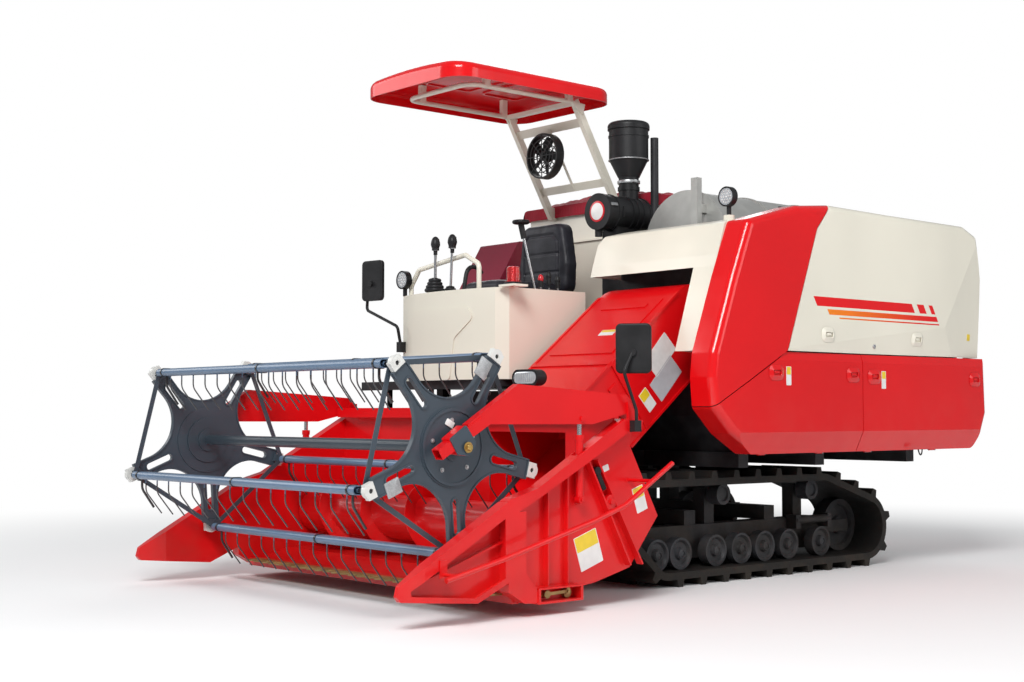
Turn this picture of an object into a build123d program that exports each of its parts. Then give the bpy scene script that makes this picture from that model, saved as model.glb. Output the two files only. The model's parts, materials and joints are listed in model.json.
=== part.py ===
from build123d import *
import math
import os

# Full-feed crawler combine harvester. Millimetres. -Y is forward, +X is the
# machine's left side, +Z is up, and the ground is z = 0 under the tracks.

# ---------------------------------------------------------------- fits
FIT = 0.05          # radial clearance of a pin or journal in its bore
SEAT = 0.3          # gap between faces that slide or that different bodies share
SHEET = 6.0         # wall of the header's and feeder's sheet metal
COVER = 5.0         # wall of the moulded side covers

# ---------------------------------------------------------------- undercarriage
TRACK_MID_X = 590.0         # middle of each track from the machine's centre
TRACK_WIDTH = 500.0
BELT = 38.0                 # thickness of the rubber belt
LUG_HEIGHT = 40.0
LUG_LENGTH = 34.0           # at the tip, along the belt
LUG_PITCH = 90.0
SPROCKET_Y, SPROCKET_Z, SPROCKET_R = -400.0, 398.0, 130.0
IDLER_Y, IDLER_R = 1530.0, 157.0
IDLER_Z = LUG_HEIGHT + BELT + IDLER_R
ROLLER_R = 86.0
ROLLER_Z = LUG_HEIGHT + BELT + ROLLER_R
ROLLER_YS = (-200.0, -20.0, 264.0, 476.0, 678.0, 891.0, 1189.0)
ROLLER_GAUGE = 170.0        # from the track's middle to a roller's outer face
ROLLER_DISC = 60.0
CARRIER_R = 58.0
CARRIER_YS = (350.0, 1130.0)
CARRIER_Z = SPROCKET_Z + SPROCKET_R - CARRIER_R - 4.0
AXLE_R = 22.0
SPROCKET_TEETH = 12
# outlines of the wheels as (reach along the axle, radius)
ROLLER_PROFILE = ((0, 0), (0, ROLLER_R - SEAT), (ROLLER_DISC, ROLLER_R - SEAT),
                  (ROLLER_DISC, ROLLER_R - 13), (ROLLER_DISC - 14, ROLLER_R - 24),
                  (ROLLER_DISC - 14, 34), (ROLLER_DISC + 4, 30), (ROLLER_DISC + 4, 0))
ROLLER_INNER = ((0, 0), (0, ROLLER_R - SEAT), (ROLLER_DISC, ROLLER_R - SEAT),
                (ROLLER_DISC, 0))
CARRIER_PROFILE = ((0, 0), (0, CARRIER_R - SEAT), (80, CARRIER_R - SEAT), (80, 38),
                   (70, 34), (70, 0))
IDLER_PROFILE = ((-46, 0), (-46, 50), (-24, 56), (-24, IDLER_R - 40), (-45, IDLER_R - 34),
                 (-45, IDLER_R - SEAT), (45, IDLER_R - SEAT), (45, IDLER_R - 34),
                 (24, IDLER_R - 40), (24, 56), (46, 50), (46, 0))
BEAM_HALF = 55.0            # half the width of a track's beam

# ---------------------------------------------------------------- main body
RAIL_X = 110.0              # chassis rails, from the centre
RAIL = 80.0
CHASSIS_Z0, CHASSIS_Z1 = 610.0, 700.0
CHASSIS_Y0, CHASSIS_Y1 = -420.0, 1950.0
OUTRIGGER = 900.0           # reach of the cross tubes from the centre
# cross tubes as (y, left end), and the beams that lie on the track frames
CROSS_TUBES = ((CHASSIS_Y0 + 60, RAIL_X + RAIL), (330.0, OUTRIGGER), (1000.0, OUTRIGGER),
               (CHASSIS_Y1 - 60, OUTRIGGER))
LOW_BEAMS = (180.0, 860.0)
BODY_X0, BODY_X1 = -1040.0, 1000.0
BODY_Y0, BODY_Y1 = 190.0, 2180.0
BODY_Z1 = 1900.0
PLATFORM_Z = 1100.0
CONSOLE_Z = 1600.0
BODY_X0_LEFT = -60.0          # right wall of the threshing housing
TANK_TOP = 2235.0
COVER_X0, COVER_X1 = 1045.0, 1200.0
COVER_GAP = 6.0             # open seam between two side covers
COVER_ROUND = 42.0          # rounding of the covers' outer rim
UPPER_HINGE_Z, LOWER_HINGE_Z = 2065.0, 699.0
HINGE_PIN_R, KNUCKLE_R, KNUCKLE = 5.0, 10.0, 50.0
DRUM_X, DRUM_R, DRUM_Z = 480.0, 310.0, 1870.0
# belt drives behind the covers: two pulleys as (y, z, radius), and where they start in x
SIDE_DRIVES = (((560.0, 1500.0, 150.0), (1480.0, 1450.0, 175.0), 1050.0),
               ((1500.0, 1010.0, 120.0), (640.0, 980.0, 105.0), 1050.0),
               ((1900.0, 1560.0, 90.0), (1940.0, 1010.0, 130.0), 1050.0))

# ---------------------------------------------------------------- header
HINGE_Y, HINGE_Z = 60.0, 1400.0        # header and feeder swing about this line
HEADER_X = 1200.0                       # outer face of each side's folded flange
SIDE_X = 1140.0                         # outer face of each header side plate
SIDE_IN = SIDE_X - SHEET                # inner face of each header side plate
NOSE_Y = -1612.0                        # seam between a divider nose and its side
TROUGH_R = 205.0
AUGER_Y, AUGER_Z = -1100.0, 350.0
AUGER_R, AUGER_DRUM_R = 185.0, 120.0
AUGER_PITCH = 400.0
HEADER_BACK_Y = AUGER_Y + TROUGH_R
FEEDER_X0, FEEDER_X1 = 200.0, 800.0
FEEDER_R = 215.0                        # half depth of the feeder at its hinge
FEEDER_SLOPE = 38.0
PIVOT_R, PIVOT_DEPTH = 25.0, 30.0        # pins that the feeder swings on
KNIFE_Y, KNIFE_Z = -1560.0, 108.0
KNIFE_PITCH = 76.2

# ---------------------------------------------------------------- reel
REEL_Y, REEL_Z, REEL_R = -1850.0, 769.0, 475.0
REEL_START = -13.9                      # angle of the first arm, in degrees
REEL_ARMS = 5
SPIDER_X = 1085.0                       # middle of each spider's plate
SPIDER_HALF = 12.0
SPIDER_ARM = 47.0                       # half width of a spider's arm
SPIDER_WEB_R = 220.0                    # from the centre to the web between two arms
SPIDER_ARM_END = 452.0
BAR_HALF = 1018.0                       # half the length of a tine bar
BAR_DEEP, BAR_TALL = 70.0, 40.0
TINE_DROP, TINE_BACK = 200.0, 92.0      # tip of a tine from its bar's axis
TINE_D = 7.0
TINES = 16
ARM_X = 1165.0                          # middle of each reel arm
ARM_PIVOT_Y, ARM_PIVOT_Z = -835.0, 945.0
JOURNAL_R = 11.0

# ---------------------------------------------------------------- cylinders
REEL_CYL_Y, REEL_CYL_TOP, REEL_CYL_FOOT = -1150.0, 891.0, 515.0
REEL_ROD_R, REEL_BARREL_R = 11.0, 19.0
LIFT_X = 260.0
LIFT_ROOT_Y, LIFT_ROOT_Z = -20.0, 665.0
LIFT_EYE_Y, LIFT_EYE_Z = -830.0, 350.0

# ---------------------------------------------------------------- canopy and fan
CANOPY_X = -540.0
CANOPY_CROWN = 2890.0
CANOPY_HALF = 460.0                     # half the roof's width
CANOPY_Y0, CANOPY_Y1 = -890.0, 350.0
CANOPY_SHEET = 6.0
CANOPY_DEEP = 112.0                     # from the crown to the rim's lower edge
CANOPY_DROP = 26.0                      # from the crown to the top of the rim
LOOP_Z = CANOPY_CROWN - 118.0           # tube loop under the roof
POST_X0, POST_X1 = -800.0, -200.0       # middles of the two posts
POST_LOW, POST_TOP = (462.0, 2180.0), (104.0, CANOPY_CROWN - 106.0)
FAN_X, FAN_Y, FAN_Z = -500.0, 110.0, 2490.0

# ---------------------------------------------------------------- towing eye
TOW_BORE_R = 20.0
TOW_Y = 2180.0


def block(x0, x1, y0, y1, z0, z1):
    """Box between two corners."""
    middle = Pos((x0 + x1) / 2, (y0 + y1) / 2, (z0 + z1) / 2)
    return middle * Box(x1 - x0, y1 - y0, z1 - z0)


def rod_x(radius, x0, x1, y, z):
    """Cylinder along X."""
    return Pos((x0 + x1) / 2, y, z) * Rot(0, 90, 0) * Cylinder(radius, x1 - x0)


def rod_y(radius, y0, y1, x, z):
    """Cylinder along Y."""
    return Pos(x, (y0 + y1) / 2, z) * Rot(90, 0, 0) * Cylinder(radius, y1 - y0)


def rod_z(radius, z0, z1, x, y):
    """Cylinder along Z."""
    return Pos(x, y, (z0 + z1) / 2) * Cylinder(radius, z1 - z0)


def rod(radius, start, end):
    """Cylinder between two points."""
    a, b = Vector(*start), Vector(*end)
    plane = Plane(origin=(a + b) * 0.5, z_dir=(b - a).normalized())
    return plane * Cylinder(radius, (b - a).length)


def side_face(points, corner=0.0):
    """Polygon of (y, z) points in the side view, with rounded corners."""
    face = make_face(Polyline(*points, close=True))
    return fillet(face.vertices(), corner) if corner else face


def prism_x(face, x0, x1):
    """A side-view face, drawn in X and Y, stood up and extruded along X."""
    stood = Plane(origin=(x0, 0, 0), x_dir=(0, 1, 0), z_dir=(1, 0, 0)) * face
    return extrude(stood, x1 - x0)


def prism_y(points, y0, y1, corner=0.0):
    """Polygon of (x, z) points in the front view, extruded along Y."""
    face = side_face(points, corner)
    stood = Plane(origin=(0, y0, 0), x_dir=(1, 0, 0), z_dir=(0, -1, 0)) * face
    return extrude(stood, y0 - y1)


def prism_z(points, z0, z1, corner=0.0):
    """Polygon of (x, y) points in plan, extruded up."""
    return Pos(0, 0, z0) * extrude(side_face(points, corner), z1 - z0)


def bar_x(start, end, width, x0, x1):
    """Flat bar between two side-view points, from x0 to x1."""
    a, b = Vector(*start), Vector(*end)
    angle = math.degrees(math.atan2(b.Y - a.Y, b.X - a.X))
    middle = (a + b) * 0.5
    face = Pos(middle.X, middle.Y) * Rot(0, 0, angle) * Rectangle((b - a).length, width)
    return prism_x(face, x0, x1)


def both_sides(shape):
    """A shape and its mirror image across the machine's middle."""
    return [shape, mirror(shape, about=Plane.YZ)]


def joined(parts):
    """All parts fused, or kept as separate solids where they don't touch."""
    first, *rest = parts
    return first.fuse(*rest) if rest else first


def polar(angle, radius, y=0.0, z=0.0):
    """Point (y, z) at an angle in degrees from +Y toward +Z."""
    turn = math.radians(angle)
    return y + radius * math.cos(turn), z + radius * math.sin(turn)


# ================================================================ undercarriage
def belt_loop(offset):
    """Side view of the belt's loop, grown by an offset from its inner face."""
    rounds = [
        (SPROCKET_Y, SPROCKET_Z, SPROCKET_R),
        (ROLLER_YS[0], ROLLER_Z, ROLLER_R),
        (IDLER_Y, IDLER_Z, IDLER_R),
        (CARRIER_YS[1], CARRIER_Z, CARRIER_R),
    ]
    circles = [Pos(y, z) * Circle(r + offset).edge() for y, z, r in rounds]
    return make_hull(circles)


def lugs(phase):
    """Side view of every second lug, standing on the belt's outer face."""
    loop = belt_loop(BELT).face().outer_wire()
    pairs = round(loop.length / (2 * LUG_PITCH))
    lug = Polygon(
        (-LUG_LENGTH / 2 - 12, -8), (LUG_LENGTH / 2 + 12, -8),
        (LUG_LENGTH / 2, LUG_HEIGHT), (-LUG_LENGTH / 2, LUG_HEIGHT), align=None)
    shapes = []
    for index in range(pairs):
        t = ((index + phase) / pairs) % 1.0
        tangent = loop % t
        point = loop @ t
        inside = Vector(IDLER_Y / 2, ROLLER_Z + ROLLER_R, 0) - point
        normal = Vector(-tangent.Y, tangent.X, 0)
        if normal.dot(inside) > 0:
            normal = normal * -1
        turn = math.degrees(math.atan2(normal.Y, normal.X)) - 90
        shapes.append(Pos(point.X, point.Y) * Rot(0, 0, turn) * lug)
    return shapes


def track(middle):
    """One endless rubber track with its lugs left and right in turn."""
    inner = belt_loop(0.0)
    outer = belt_loop(BELT)
    half = TRACK_WIDTH / 2
    halves = []
    for phase, x0 in ((0.0, middle - half), (0.5, middle)):
        outline = outer.fuse(*lugs(phase)) - inner
        halves.append(prism_x(outline, x0, x0 + half))
    return joined(halves)


def turned(profile, x, y, z, side=1):
    """Body of revolution about an axle from (reach, radius) points."""
    points = [(x + side * reach, radius) for reach, radius in profile]
    wire = Polyline(*[(a, b, 0) for a, b in points], close=True)
    return Pos(0, y, z) * revolve(make_face(wire), Axis.X)


def sprocket_wheel(middle):
    """Toothed wheel that drives the belt, with its bolted hub."""
    disc = rod_x(SPROCKET_R - 22, middle - 30, middle + 30, SPROCKET_Y, SPROCKET_Z)
    disc -= rod_x(SPROCKET_R - 46, middle + 18, middle + 31, SPROCKET_Y, SPROCKET_Z)
    disc -= rod_x(AXLE_R + 20, middle - 31, middle + 31, SPROCKET_Y, SPROCKET_Z)
    for index in range(SPROCKET_TEETH):
        tooth = block(middle - 30, middle + 30, SPROCKET_R - 46, SPROCKET_R - FIT, -13, 13)
        turn = Rot(index * 360 / SPROCKET_TEETH, 0, 0)
        disc += Pos(0, SPROCKET_Y, SPROCKET_Z) * turn * tooth
    return disc & rod_x(SPROCKET_R - FIT, middle - 30, middle + 30, SPROCKET_Y, SPROCKET_Z)


def track_wheels(middle):
    """Sprocket, idler, road rollers and carrier rollers of one track."""
    shapes = [sprocket_wheel(middle)]
    idler = turned(IDLER_PROFILE, middle, IDLER_Y, IDLER_Z)
    shapes.append(idler - rod_x(AXLE_R + FIT, middle - 46, middle + 46, IDLER_Y, IDLER_Z))
    for y in ROLLER_YS:
        for side in (-1, 1):
            foot = middle + side * (ROLLER_GAUGE - ROLLER_DISC)
            profile = ROLLER_PROFILE if side > 0 else ROLLER_INNER
            shapes.append(turned(profile, foot, y, ROLLER_Z, side))
    for y in CARRIER_YS:
        shapes.append(turned(CARRIER_PROFILE, middle + 70, y, CARRIER_Z))
    return shapes


def track_frame(middle):
    """Beam that carries one track's rollers, with its axles and tensioner."""
    z0, z1 = ROLLER_Z - 45, ROLLER_Z + ROLLER_R + 50
    y0, y1 = ROLLER_YS[0] - 60, IDLER_Y - IDLER_R - 60
    beam = block(middle - BEAM_HALF, middle + BEAM_HALF, y0, y1, z0, z1)
    parts = [beam]
    reach = ROLLER_GAUGE - ROLLER_DISC - SEAT
    for y in ROLLER_YS:
        parts.append(rod_x(AXLE_R, middle - reach, middle + reach, y, ROLLER_Z))
    for y in CARRIER_YS:
        parts.append(rod_x(AXLE_R, middle, middle + 70 - SEAT, y, CARRIER_Z))
        parts.append(block(middle - 40, middle + 40, y - 40, y + 40, z1 - 1, CARRIER_Z + 30))
    fork = block(middle - 75, middle + 75, y1 - 1, IDLER_Y + 40, IDLER_Z - 35, IDLER_Z + 35)
    fork -= block(middle - 50, middle + 50, y1 + 40, IDLER_Y + 60, IDLER_Z - 50, IDLER_Z + 50)
    parts.append(fork)
    parts.append(rod_x(AXLE_R, middle - 75, middle + 75, IDLER_Y, IDLER_Z))
    parts.append(rod_y(24, 1020, IDLER_Y - 200, middle + 110, z1 - 10))
    parts.append(block(middle + 50, middle + 130, 1010, 1050, z1 - 60, z1 + 20))
    parts.append(block(middle + 50, middle + 130, IDLER_Y - 225, IDLER_Y - 190, z1 - 60, z1 + 20))
    return joined(parts)


def final_drive():
    """Transmission case between the tracks' fronts with its two axle tubes."""
    case = prism_x(side_face([(-520, 330), (-300, 300), (-250, 420), (-262, CHASSIS_Z0),
                              (-480, CHASSIS_Z0), (-560, 470)], 30), -150, 150)
    parts = [case]
    for side in both_sides(rod_x(AXLE_R + 20, 150, TRACK_MID_X + 60, SPROCKET_Y, SPROCKET_Z)):
        parts.append(side)
    for side in both_sides(rod_x(55, 150, TRACK_MID_X - 90, SPROCKET_Y, SPROCKET_Z)):
        parts.append(side)
    return joined(parts)


def cross_tube(y, left_end):
    """Members of one cross tube: outside, between and outside the two rails."""
    z0, z1 = CHASSIS_Z0 + 8, CHASSIS_Z1
    spans = [(-OUTRIGGER, -RAIL_X - RAIL - SEAT), (-RAIL_X + SEAT, RAIL_X - SEAT)]
    if left_end > RAIL_X + RAIL:
        spans.append((RAIL_X + RAIL + SEAT, left_end))
    return [block(x0, x1, y - 40, y + 40, z0, z1) for x0, x1 in spans]


def chassis_frame():
    """Ladder frame: rails, cross tubes, beams on uprights, hitch plate and lift pin."""
    rail = block(RAIL_X, RAIL_X + RAIL, CHASSIS_Y0, CHASSIS_Y1, CHASSIS_Z0, CHASSIS_Z1)
    members = both_sides(rail)
    for y, left_end in CROSS_TUBES:
        members += cross_tube(y, left_end)
    z_beam = ROLLER_Z + ROLLER_R + 50
    for y in LOW_BEAMS:
        members.append(block(-TRACK_MID_X - 50, TRACK_MID_X + 50, y - 45, y + 45,
                             z_beam + SEAT, z_beam + 80))
        leg = block(RAIL_X, RAIL_X + RAIL, y - 45, y + 45, z_beam + 80 + SEAT,
                    CHASSIS_Z0 - SEAT)
        members += both_sides(leg)
    hitch = block(-120, 120, CHASSIS_Y1 + SEAT, 2230, CHASSIS_Z0 + 20, CHASSIS_Z0 + 45)
    members.append(hitch - rod_z(TOW_BORE_R, CHASSIS_Z0, CHASSIS_Z1, 0, TOW_Y))
    members.append(rod_x(15, RAIL_X + RAIL + SEAT, LIFT_X + 40, LIFT_ROOT_Y, LIFT_ROOT_Z))
    return members


# ================================================================ main body
def thresher_body():
    """Closed threshing and cleaning housing with its crop inlet at the front."""
    outline = [(BODY_Y0, 900), (330, CHASSIS_Z1), (1950, CHASSIS_Z1), (BODY_Y1, 900),
               (BODY_Y1, BODY_Z1), (BODY_Y0 + 10, BODY_Z1)]
    body = prism_x(side_face(outline), BODY_X0_LEFT, BODY_X1)
    inlet = rod_x(FEEDER_R + 45, FEEDER_X0 - 10, FEEDER_X1 + 10, HINGE_Y, HINGE_Z)
    rails = [block(BODY_X1 - 1, COVER_X0 - SEAT, y - 20, y + 20, 720, BODY_Z1)
             for y in (300.0, 1006.0, 2150.0)]
    rails.append(block(BODY_X1 - 60, COVER_X0 - SEAT, 480, BODY_Y1, BODY_Z1 - 1, 1930))
    rails.append(block(COVER_X0 - 12, COVER_X0 - SEAT, 480, BODY_Y1, 1929, 2050))
    sill = block(BODY_X1 - 1, COVER_X0 - SEAT, 200, 2150, CHASSIS_Z1, 721)
    for y in LOWER_FRONT_HINGES + LOWER_REAR_HINGES:
        room = KNUCKLE / 2 + SEAT
        sill -= rod_y(KNUCKLE_R + 3, y - room, y + room, COVER_X0, LOWER_HINGE_Z)
    rails.append(sill)
    rails += [hinge_ear(y, UPPER_HINGE_Z) for y in UPPER_HINGES]
    rails += [hinge_ear(y, LOWER_HINGE_Z) for y in LOWER_FRONT_HINGES + LOWER_REAR_HINGES]
    for x0, side in ((FEEDER_X0, -1), (FEEDER_X1, 1)):
        near, far = sorted((x0 + side * 8, x0 + side * 26))
        rails.append(block(near, far, HINGE_Y - 55, BODY_Y0 + 20, HINGE_Z - 60, HINGE_Z + 60))
        tip, root = sorted((x0 - side * PIVOT_DEPTH, x0 + side * 20))
        rails.append(rod_x(PIVOT_R, tip, root, HINGE_Y, HINGE_Z))
    return joined([body - inlet, *rails])


def wrap(first, second, grow):
    """Side-view outline of a belt around two pulleys (y, z, radius)."""
    (y0, z0, r0), (y1, z1, r1) = first, second
    length = math.hypot(y1 - y0, z1 - z0)
    along = math.atan2(z1 - z0, y1 - y0)
    lean = math.acos((r0 - r1) / length)
    r0, r1 = r0 + grow, r1 + grow
    sides = [(math.cos(along + turn), math.sin(along + turn)) for turn in (lean, -lean)]
    (c0, s0), (c1, s1) = sides
    quad = make_face(Polyline((y0 + r0 * c0, z0 + r0 * s0, 0), (y1 + r1 * c0, z1 + r1 * s0, 0),
                              (y1 + r1 * c1, z1 + r1 * s1, 0), (y0 + r0 * c1, z0 + r0 * s1, 0),
                              close=True))
    return quad + Pos(y0, z0) * Circle(r0) + Pos(y1, z1) * Circle(r1)


def side_drives():
    """Pulleys and belts behind the side covers, each drive as one piece."""
    shapes = []
    for first, second, x in SIDE_DRIVES:
        belt = prism_x(wrap(first, second, 0) - wrap(first, second, -9), x + 4, x + 22)
        parts = [belt]
        for y, z, radius in (first, second):
            rim = turned(((0, 0), (0, radius - 2), (4, radius - 2), (4, radius - 8),
                          (22, radius - 8), (22, radius - 2), (26, radius - 2),
                          (26, radius - 20), (14, radius - 26), (14, 42), (30, 38),
                          (30, 0)), x, y, z)
            parts.append(rim)
            parts.append(rod_x(18, BODY_X1 + SEAT, x + 1, y, z))
        shapes.append(joined(parts))
    return shapes


def drum_cover():
    """Half-round cover over the threshing drum with its ribs and the front post."""
    y0, y1 = 330.0, 1750.0
    parts = [rod_y(DRUM_R, y0, y1, DRUM_X, DRUM_Z)]
    for y in (y0, y0 + 460, y0 + 940, y1 - 8):
        parts.append(rod_y(DRUM_R + 8, y, y + 8, DRUM_X, DRUM_Z))
    room = block(DRUM_X - DRUM_R - 20, DRUM_X + DRUM_R + 20, y0 - 1, y1 + 1, BODY_Z1,
                 DRUM_Z + DRUM_R + 20)
    half = joined(parts) & room
    post = block(600, 646, 250, 290, BODY_Z1, 2236) - block(606, 640, 256, 291, 1990, 2237)
    brace = block(600, 646, 289, y0 + 1, 2040, 2090)
    return joined([half, post, brace])


# side covers in the side view: (y, z)
COVER_OUTLINE = [
    (-240, 1225), (-88, 1623), (43, 1931), (455, 2039), (735, 2066), (1321, 2059),
    (2062, 2056), (2200, 2004), (2254, 1741), (2262, 1262), (2279, 914), (2180, 700),
    (97, 700), (-97, 810), (-241, 943), (-255, 1100)]
# seams between the covers, each run out past the outline
SEAM_FRONT = [(735, 2400), (735, 2066), (609, 1923), (358, 1272), (345, 1246)]
SEAM_LOW = [(345, 1246), (1006, 1246), (2600, 1252)]
SEAM_CHIN = [(345, 1246), (40, 1088), (-244, 946), (-500, 946)]
SEAM_MID_Y = 1006.0
COVER_REGIONS = {
    "front": [(-500, 2400), *SEAM_FRONT, *SEAM_CHIN[1:]],
    "upper": [*reversed(SEAM_FRONT), (2600, 2400), *reversed(SEAM_LOW[1:])],
    "lower_front": [*SEAM_CHIN, (-500, 500), (SEAM_MID_Y, 500), SEAM_LOW[1]],
    "lower_rear": [(SEAM_MID_Y, 500), (2600, 500), *reversed(SEAM_LOW[1:])],
}
# creases of the covers: a point, the next point, the side that falls away, its degrees
UPPER_CREASES = [((354, 1261), (1828, 1425), -1, 7), ((1828, 1425), (2111, 1844), -1, 7)]
LOWER_CREASES = [((0, 815), (1000, 815), -1, 25), ((0, 1198), (1000, 1198), 1, 18)]
FRONT_CREASES = []


def crease_cutter(start, end, side, degrees, depth):
    """Solid outside the tilted face past one crease line."""
    along = Vector(0, end[0] - start[0], end[1] - start[1]).normalized()
    past = Vector(0, -along.Z, along.Y) * side
    fall = math.tan(math.radians(degrees))
    outward = (Vector(1, 0, 0) + past * fall).normalized()
    origin = Vector(COVER_X1, *start) - outward * depth
    return Plane(origin=origin, x_dir=along, z_dir=outward) * Pos(0, 0, 200) * Box(6000, 6000, 400)


def cover_form(creases, depth):
    """Outer form of all side covers together, with some creases, shrunk by a depth."""
    outline = side_face(COVER_OUTLINE, 40)
    if depth:
        outline = offset(outline, -depth)
    form = prism_x(outline, COVER_X0 - depth, COVER_X1 - depth)
    rim = form.faces().sort_by(Axis.X)[-1].edges()
    form = fillet(rim, COVER_ROUND - depth)
    for start, end, side, degrees in creases:
        form -= crease_cutter(start, end, side, degrees, depth)
    return form


def cover_knuckle(y, z):
    """Hinge barrel of a cover on its pin."""
    barrel = rod_y(KNUCKLE_R, y - KNUCKLE / 2, y + KNUCKLE / 2, COVER_X0, z)
    return barrel - rod_y(HINGE_PIN_R + FIT, y - KNUCKLE, y + KNUCKLE, COVER_X0, z)


def hinge_ear(y, z):
    """Ear on the body with the pin that a cover's barrel turns on."""
    near = y + KNUCKLE / 2 + SEAT
    low, high = (z - 25, z + KNUCKLE_R) if z > BODY_Z1 else (z - KNUCKLE_R, z + 20)
    ear = block(COVER_X0 - 9, COVER_X0 + 9, near, near + 8, low, high)
    return ear.fuse(rod_y(HINGE_PIN_R, y - KNUCKLE / 2, near + 4, COVER_X0, z))


def side_cover(name, creases, hinges, z):
    """One cover, cut from the whole form along its seams, with its hinges."""
    region = offset(side_face(COVER_REGIONS[name]), -COVER_GAP / 2)
    shell = cover_form(creases, 0.0) - cover_form(creases, COVER)
    cover = shell & prism_x(region, COVER_X0, COVER_X1 + 1)
    for y in hinges:
        cover -= block(COVER_X0 - 12, COVER_X0 + 14, y - KNUCKLE / 2 - 3, y + KNUCKLE / 2 + 14,
                       z - 30, z + 30)
        plate = block(COVER_X0, COVER_X0 + 20, y - KNUCKLE / 2, y + KNUCKLE / 2,
                      *sorted((z + KNUCKLE_R * (-1 if z > BODY_Z1 else 1), z)))
        cover = joined([cover, plate - rod_y(HINGE_PIN_R + FIT, y - 60, y + 60, COVER_X0, z),
                        cover_knuckle(y, z)])
    return cover


UPPER_HINGES = (950.0, 1800.0)
LOWER_FRONT_HINGES = (300.0, 800.0)
LOWER_REAR_HINGES = (1250.0, 1900.0)


def front_cowl():
    """Cream bonnet over the crop inlet with its column beside the feeder."""
    x0, x1 = 100.0, COVER_X0 - SEAT
    profile = [(-52, 1690), (-35, 1752), (24, 1926), (BODY_Y0, 1966), (BODY_Y0, 1690)]
    front = [(x0, 1690), (x1, 1690), (x1, 1966), (x0 + 70, 1966), (x0, 1876)]
    bonnet = prism_x(side_face(profile), x0, x1)
    bonnet &= prism_y(front, -60, BODY_Y0)
    ridge = bonnet.edges().filter_by(Axis.X).sort_by(Axis.Z)[-2:]
    bonnet = fillet(ridge, 26)
    column = prism_x(side_face([(-200, 1240), (-52, 1691), (BODY_Y0, 1691), (BODY_Y0, 1240)]),
                     890, x1)
    shell = joined([bonnet, column])
    hollow = [(-44, 1600), (-44, 1690), (-27, 1752), (20, 1890), (BODY_Y0 + 1, 1890),
              (BODY_Y0 + 1, 1600)]
    cavity = prism_x(side_face(hollow), x0 + SHEET, 890 - SHEET)
    lamp_seat = rod_z(30, 1940, 1972, 1000, 110)
    return joined([shell - cavity, lamp_seat])


def rear_hood():
    """Straw and chaff outlet hood behind the thresher with its ribbed hatch."""
    x0, x1 = BODY_X0_LEFT, 960.0
    face = [(BODY_Y1, 1650), (2250, 1600), (2330, 1250), (2330, 760), (BODY_Y1, 860)]
    hood = prism_x(side_face(face), x0, x1)
    mouth = prism_x(side_face([(BODY_Y1 + 6, 1600), (2244, 1560), (2322, 1240), (2322, 700),
                               (BODY_Y1 + 6, 800)]), x0 + SHEET, x1 - SHEET)
    pocket = block(x0 + 120, x1 - 120, 2327, 2331, 860, 1180)
    ribs = [block(x, x + 14, 2326, 2330, 860, 1180) for x in (200.0, 440.0, 680.0)]
    return joined([hood - mouth - pocket, *ribs])


def grain_tank():
    """Grain tank on the right with its sloped front, rim and pressed side ribs."""
    left, right = 60.0, -1040.0
    side = prism_x(side_face([(560, 1500), (500, 2000), (500, TANK_TOP), (1560, TANK_TOP),
                              (1560, 1500)]), right, left)
    front = prism_y([(right, 1500), (BODY_X0_LEFT, 1500), (BODY_X0_LEFT, BODY_Z1),
                     (left, BODY_Z1), (left, TANK_TOP), (right, TANK_TOP)], 490, 1570)
    cavity = block(right + 8, BODY_X0_LEFT - 8, 570, 1552, 1508, TANK_TOP + 1)
    tank = (side & front) - cavity
    rim = block(right - 14, left + 14, 486, 1574, TANK_TOP - 34, TANK_TOP)
    rim -= block(right, left, 500, 1560, TANK_TOP - 35, TANK_TOP + 1)
    ribs = [block(right - 10, right + 1, y, y + 46, 1560, TANK_TOP - 60)
            for y in (700.0, 1010.0, 1320.0)]
    seam = block(right, left, 488, 501, 1994, 2006)
    return joined([tank, rim, *ribs, seam])


def tank_cover():
    """Soft cover stretched over the tank's open top."""
    z0 = TANK_TOP + SEAT
    cover = prism_y([(-1050, z0), (70, z0), (70, z0 + 14), (-180, z0 + 58), (-800, z0 + 58),
                     (-1050, z0 + 14)], 490, 1570, 6)
    return fillet(cover.edges().filter_by(Axis.X), 5)


def right_side_panel():
    """Side wall of the engine bay and tank base on the right, with two pressed doors."""
    y0 = BODY_Y0 + 40
    face = side_face([(y0, CHASSIS_Z1), (y0, 1100), (430, 1100), (430, 1500), (1600, 1500),
                      (1600, CHASSIS_Z1)])
    wall = prism_x(face, -1040, BODY_X0_LEFT)
    doors = [(480.0, 1000.0, 760.0, 1430.0), (1050.0, 1560.0, 760.0, 1430.0)]
    for a, b, z0, z1 in doors:
        wall += block(-1050, -1039, a, b, z0, z1)
        for row in range(6):
            z = z1 - 90 - row * 42
            wall -= block(-1051, -1043, a + 60, b - 60, z, z + 16)
    return wall


def engine_block():
    """Engine under the seat, kept as one plain block."""
    return block(-620, -80, -335, 180, CHASSIS_Z1, 1045)


def radiator_housing():
    """Air intake box beside the seat with its slanted front and screened side."""
    face = side_face([(-60, PLATFORM_Z), (-60, 1650), (150, 1990), (420, 2000),
                      (420, PLATFORM_Z)], 20)
    box = prism_x(face, -1130, -760)
    window = side_face([(-10, 1180), (-10, 1630), (165, 1915), (370, 1925), (370, 1180)], 12)
    box -= prism_x(window, -1131, -1112)
    for row in range(14):
        z = 1200 + row * 52
        slat = block(-1126, -1111, -60, 420, z, z + 12) & prism_x(window, -1130, -1110)
        box += slat
    return box


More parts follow.
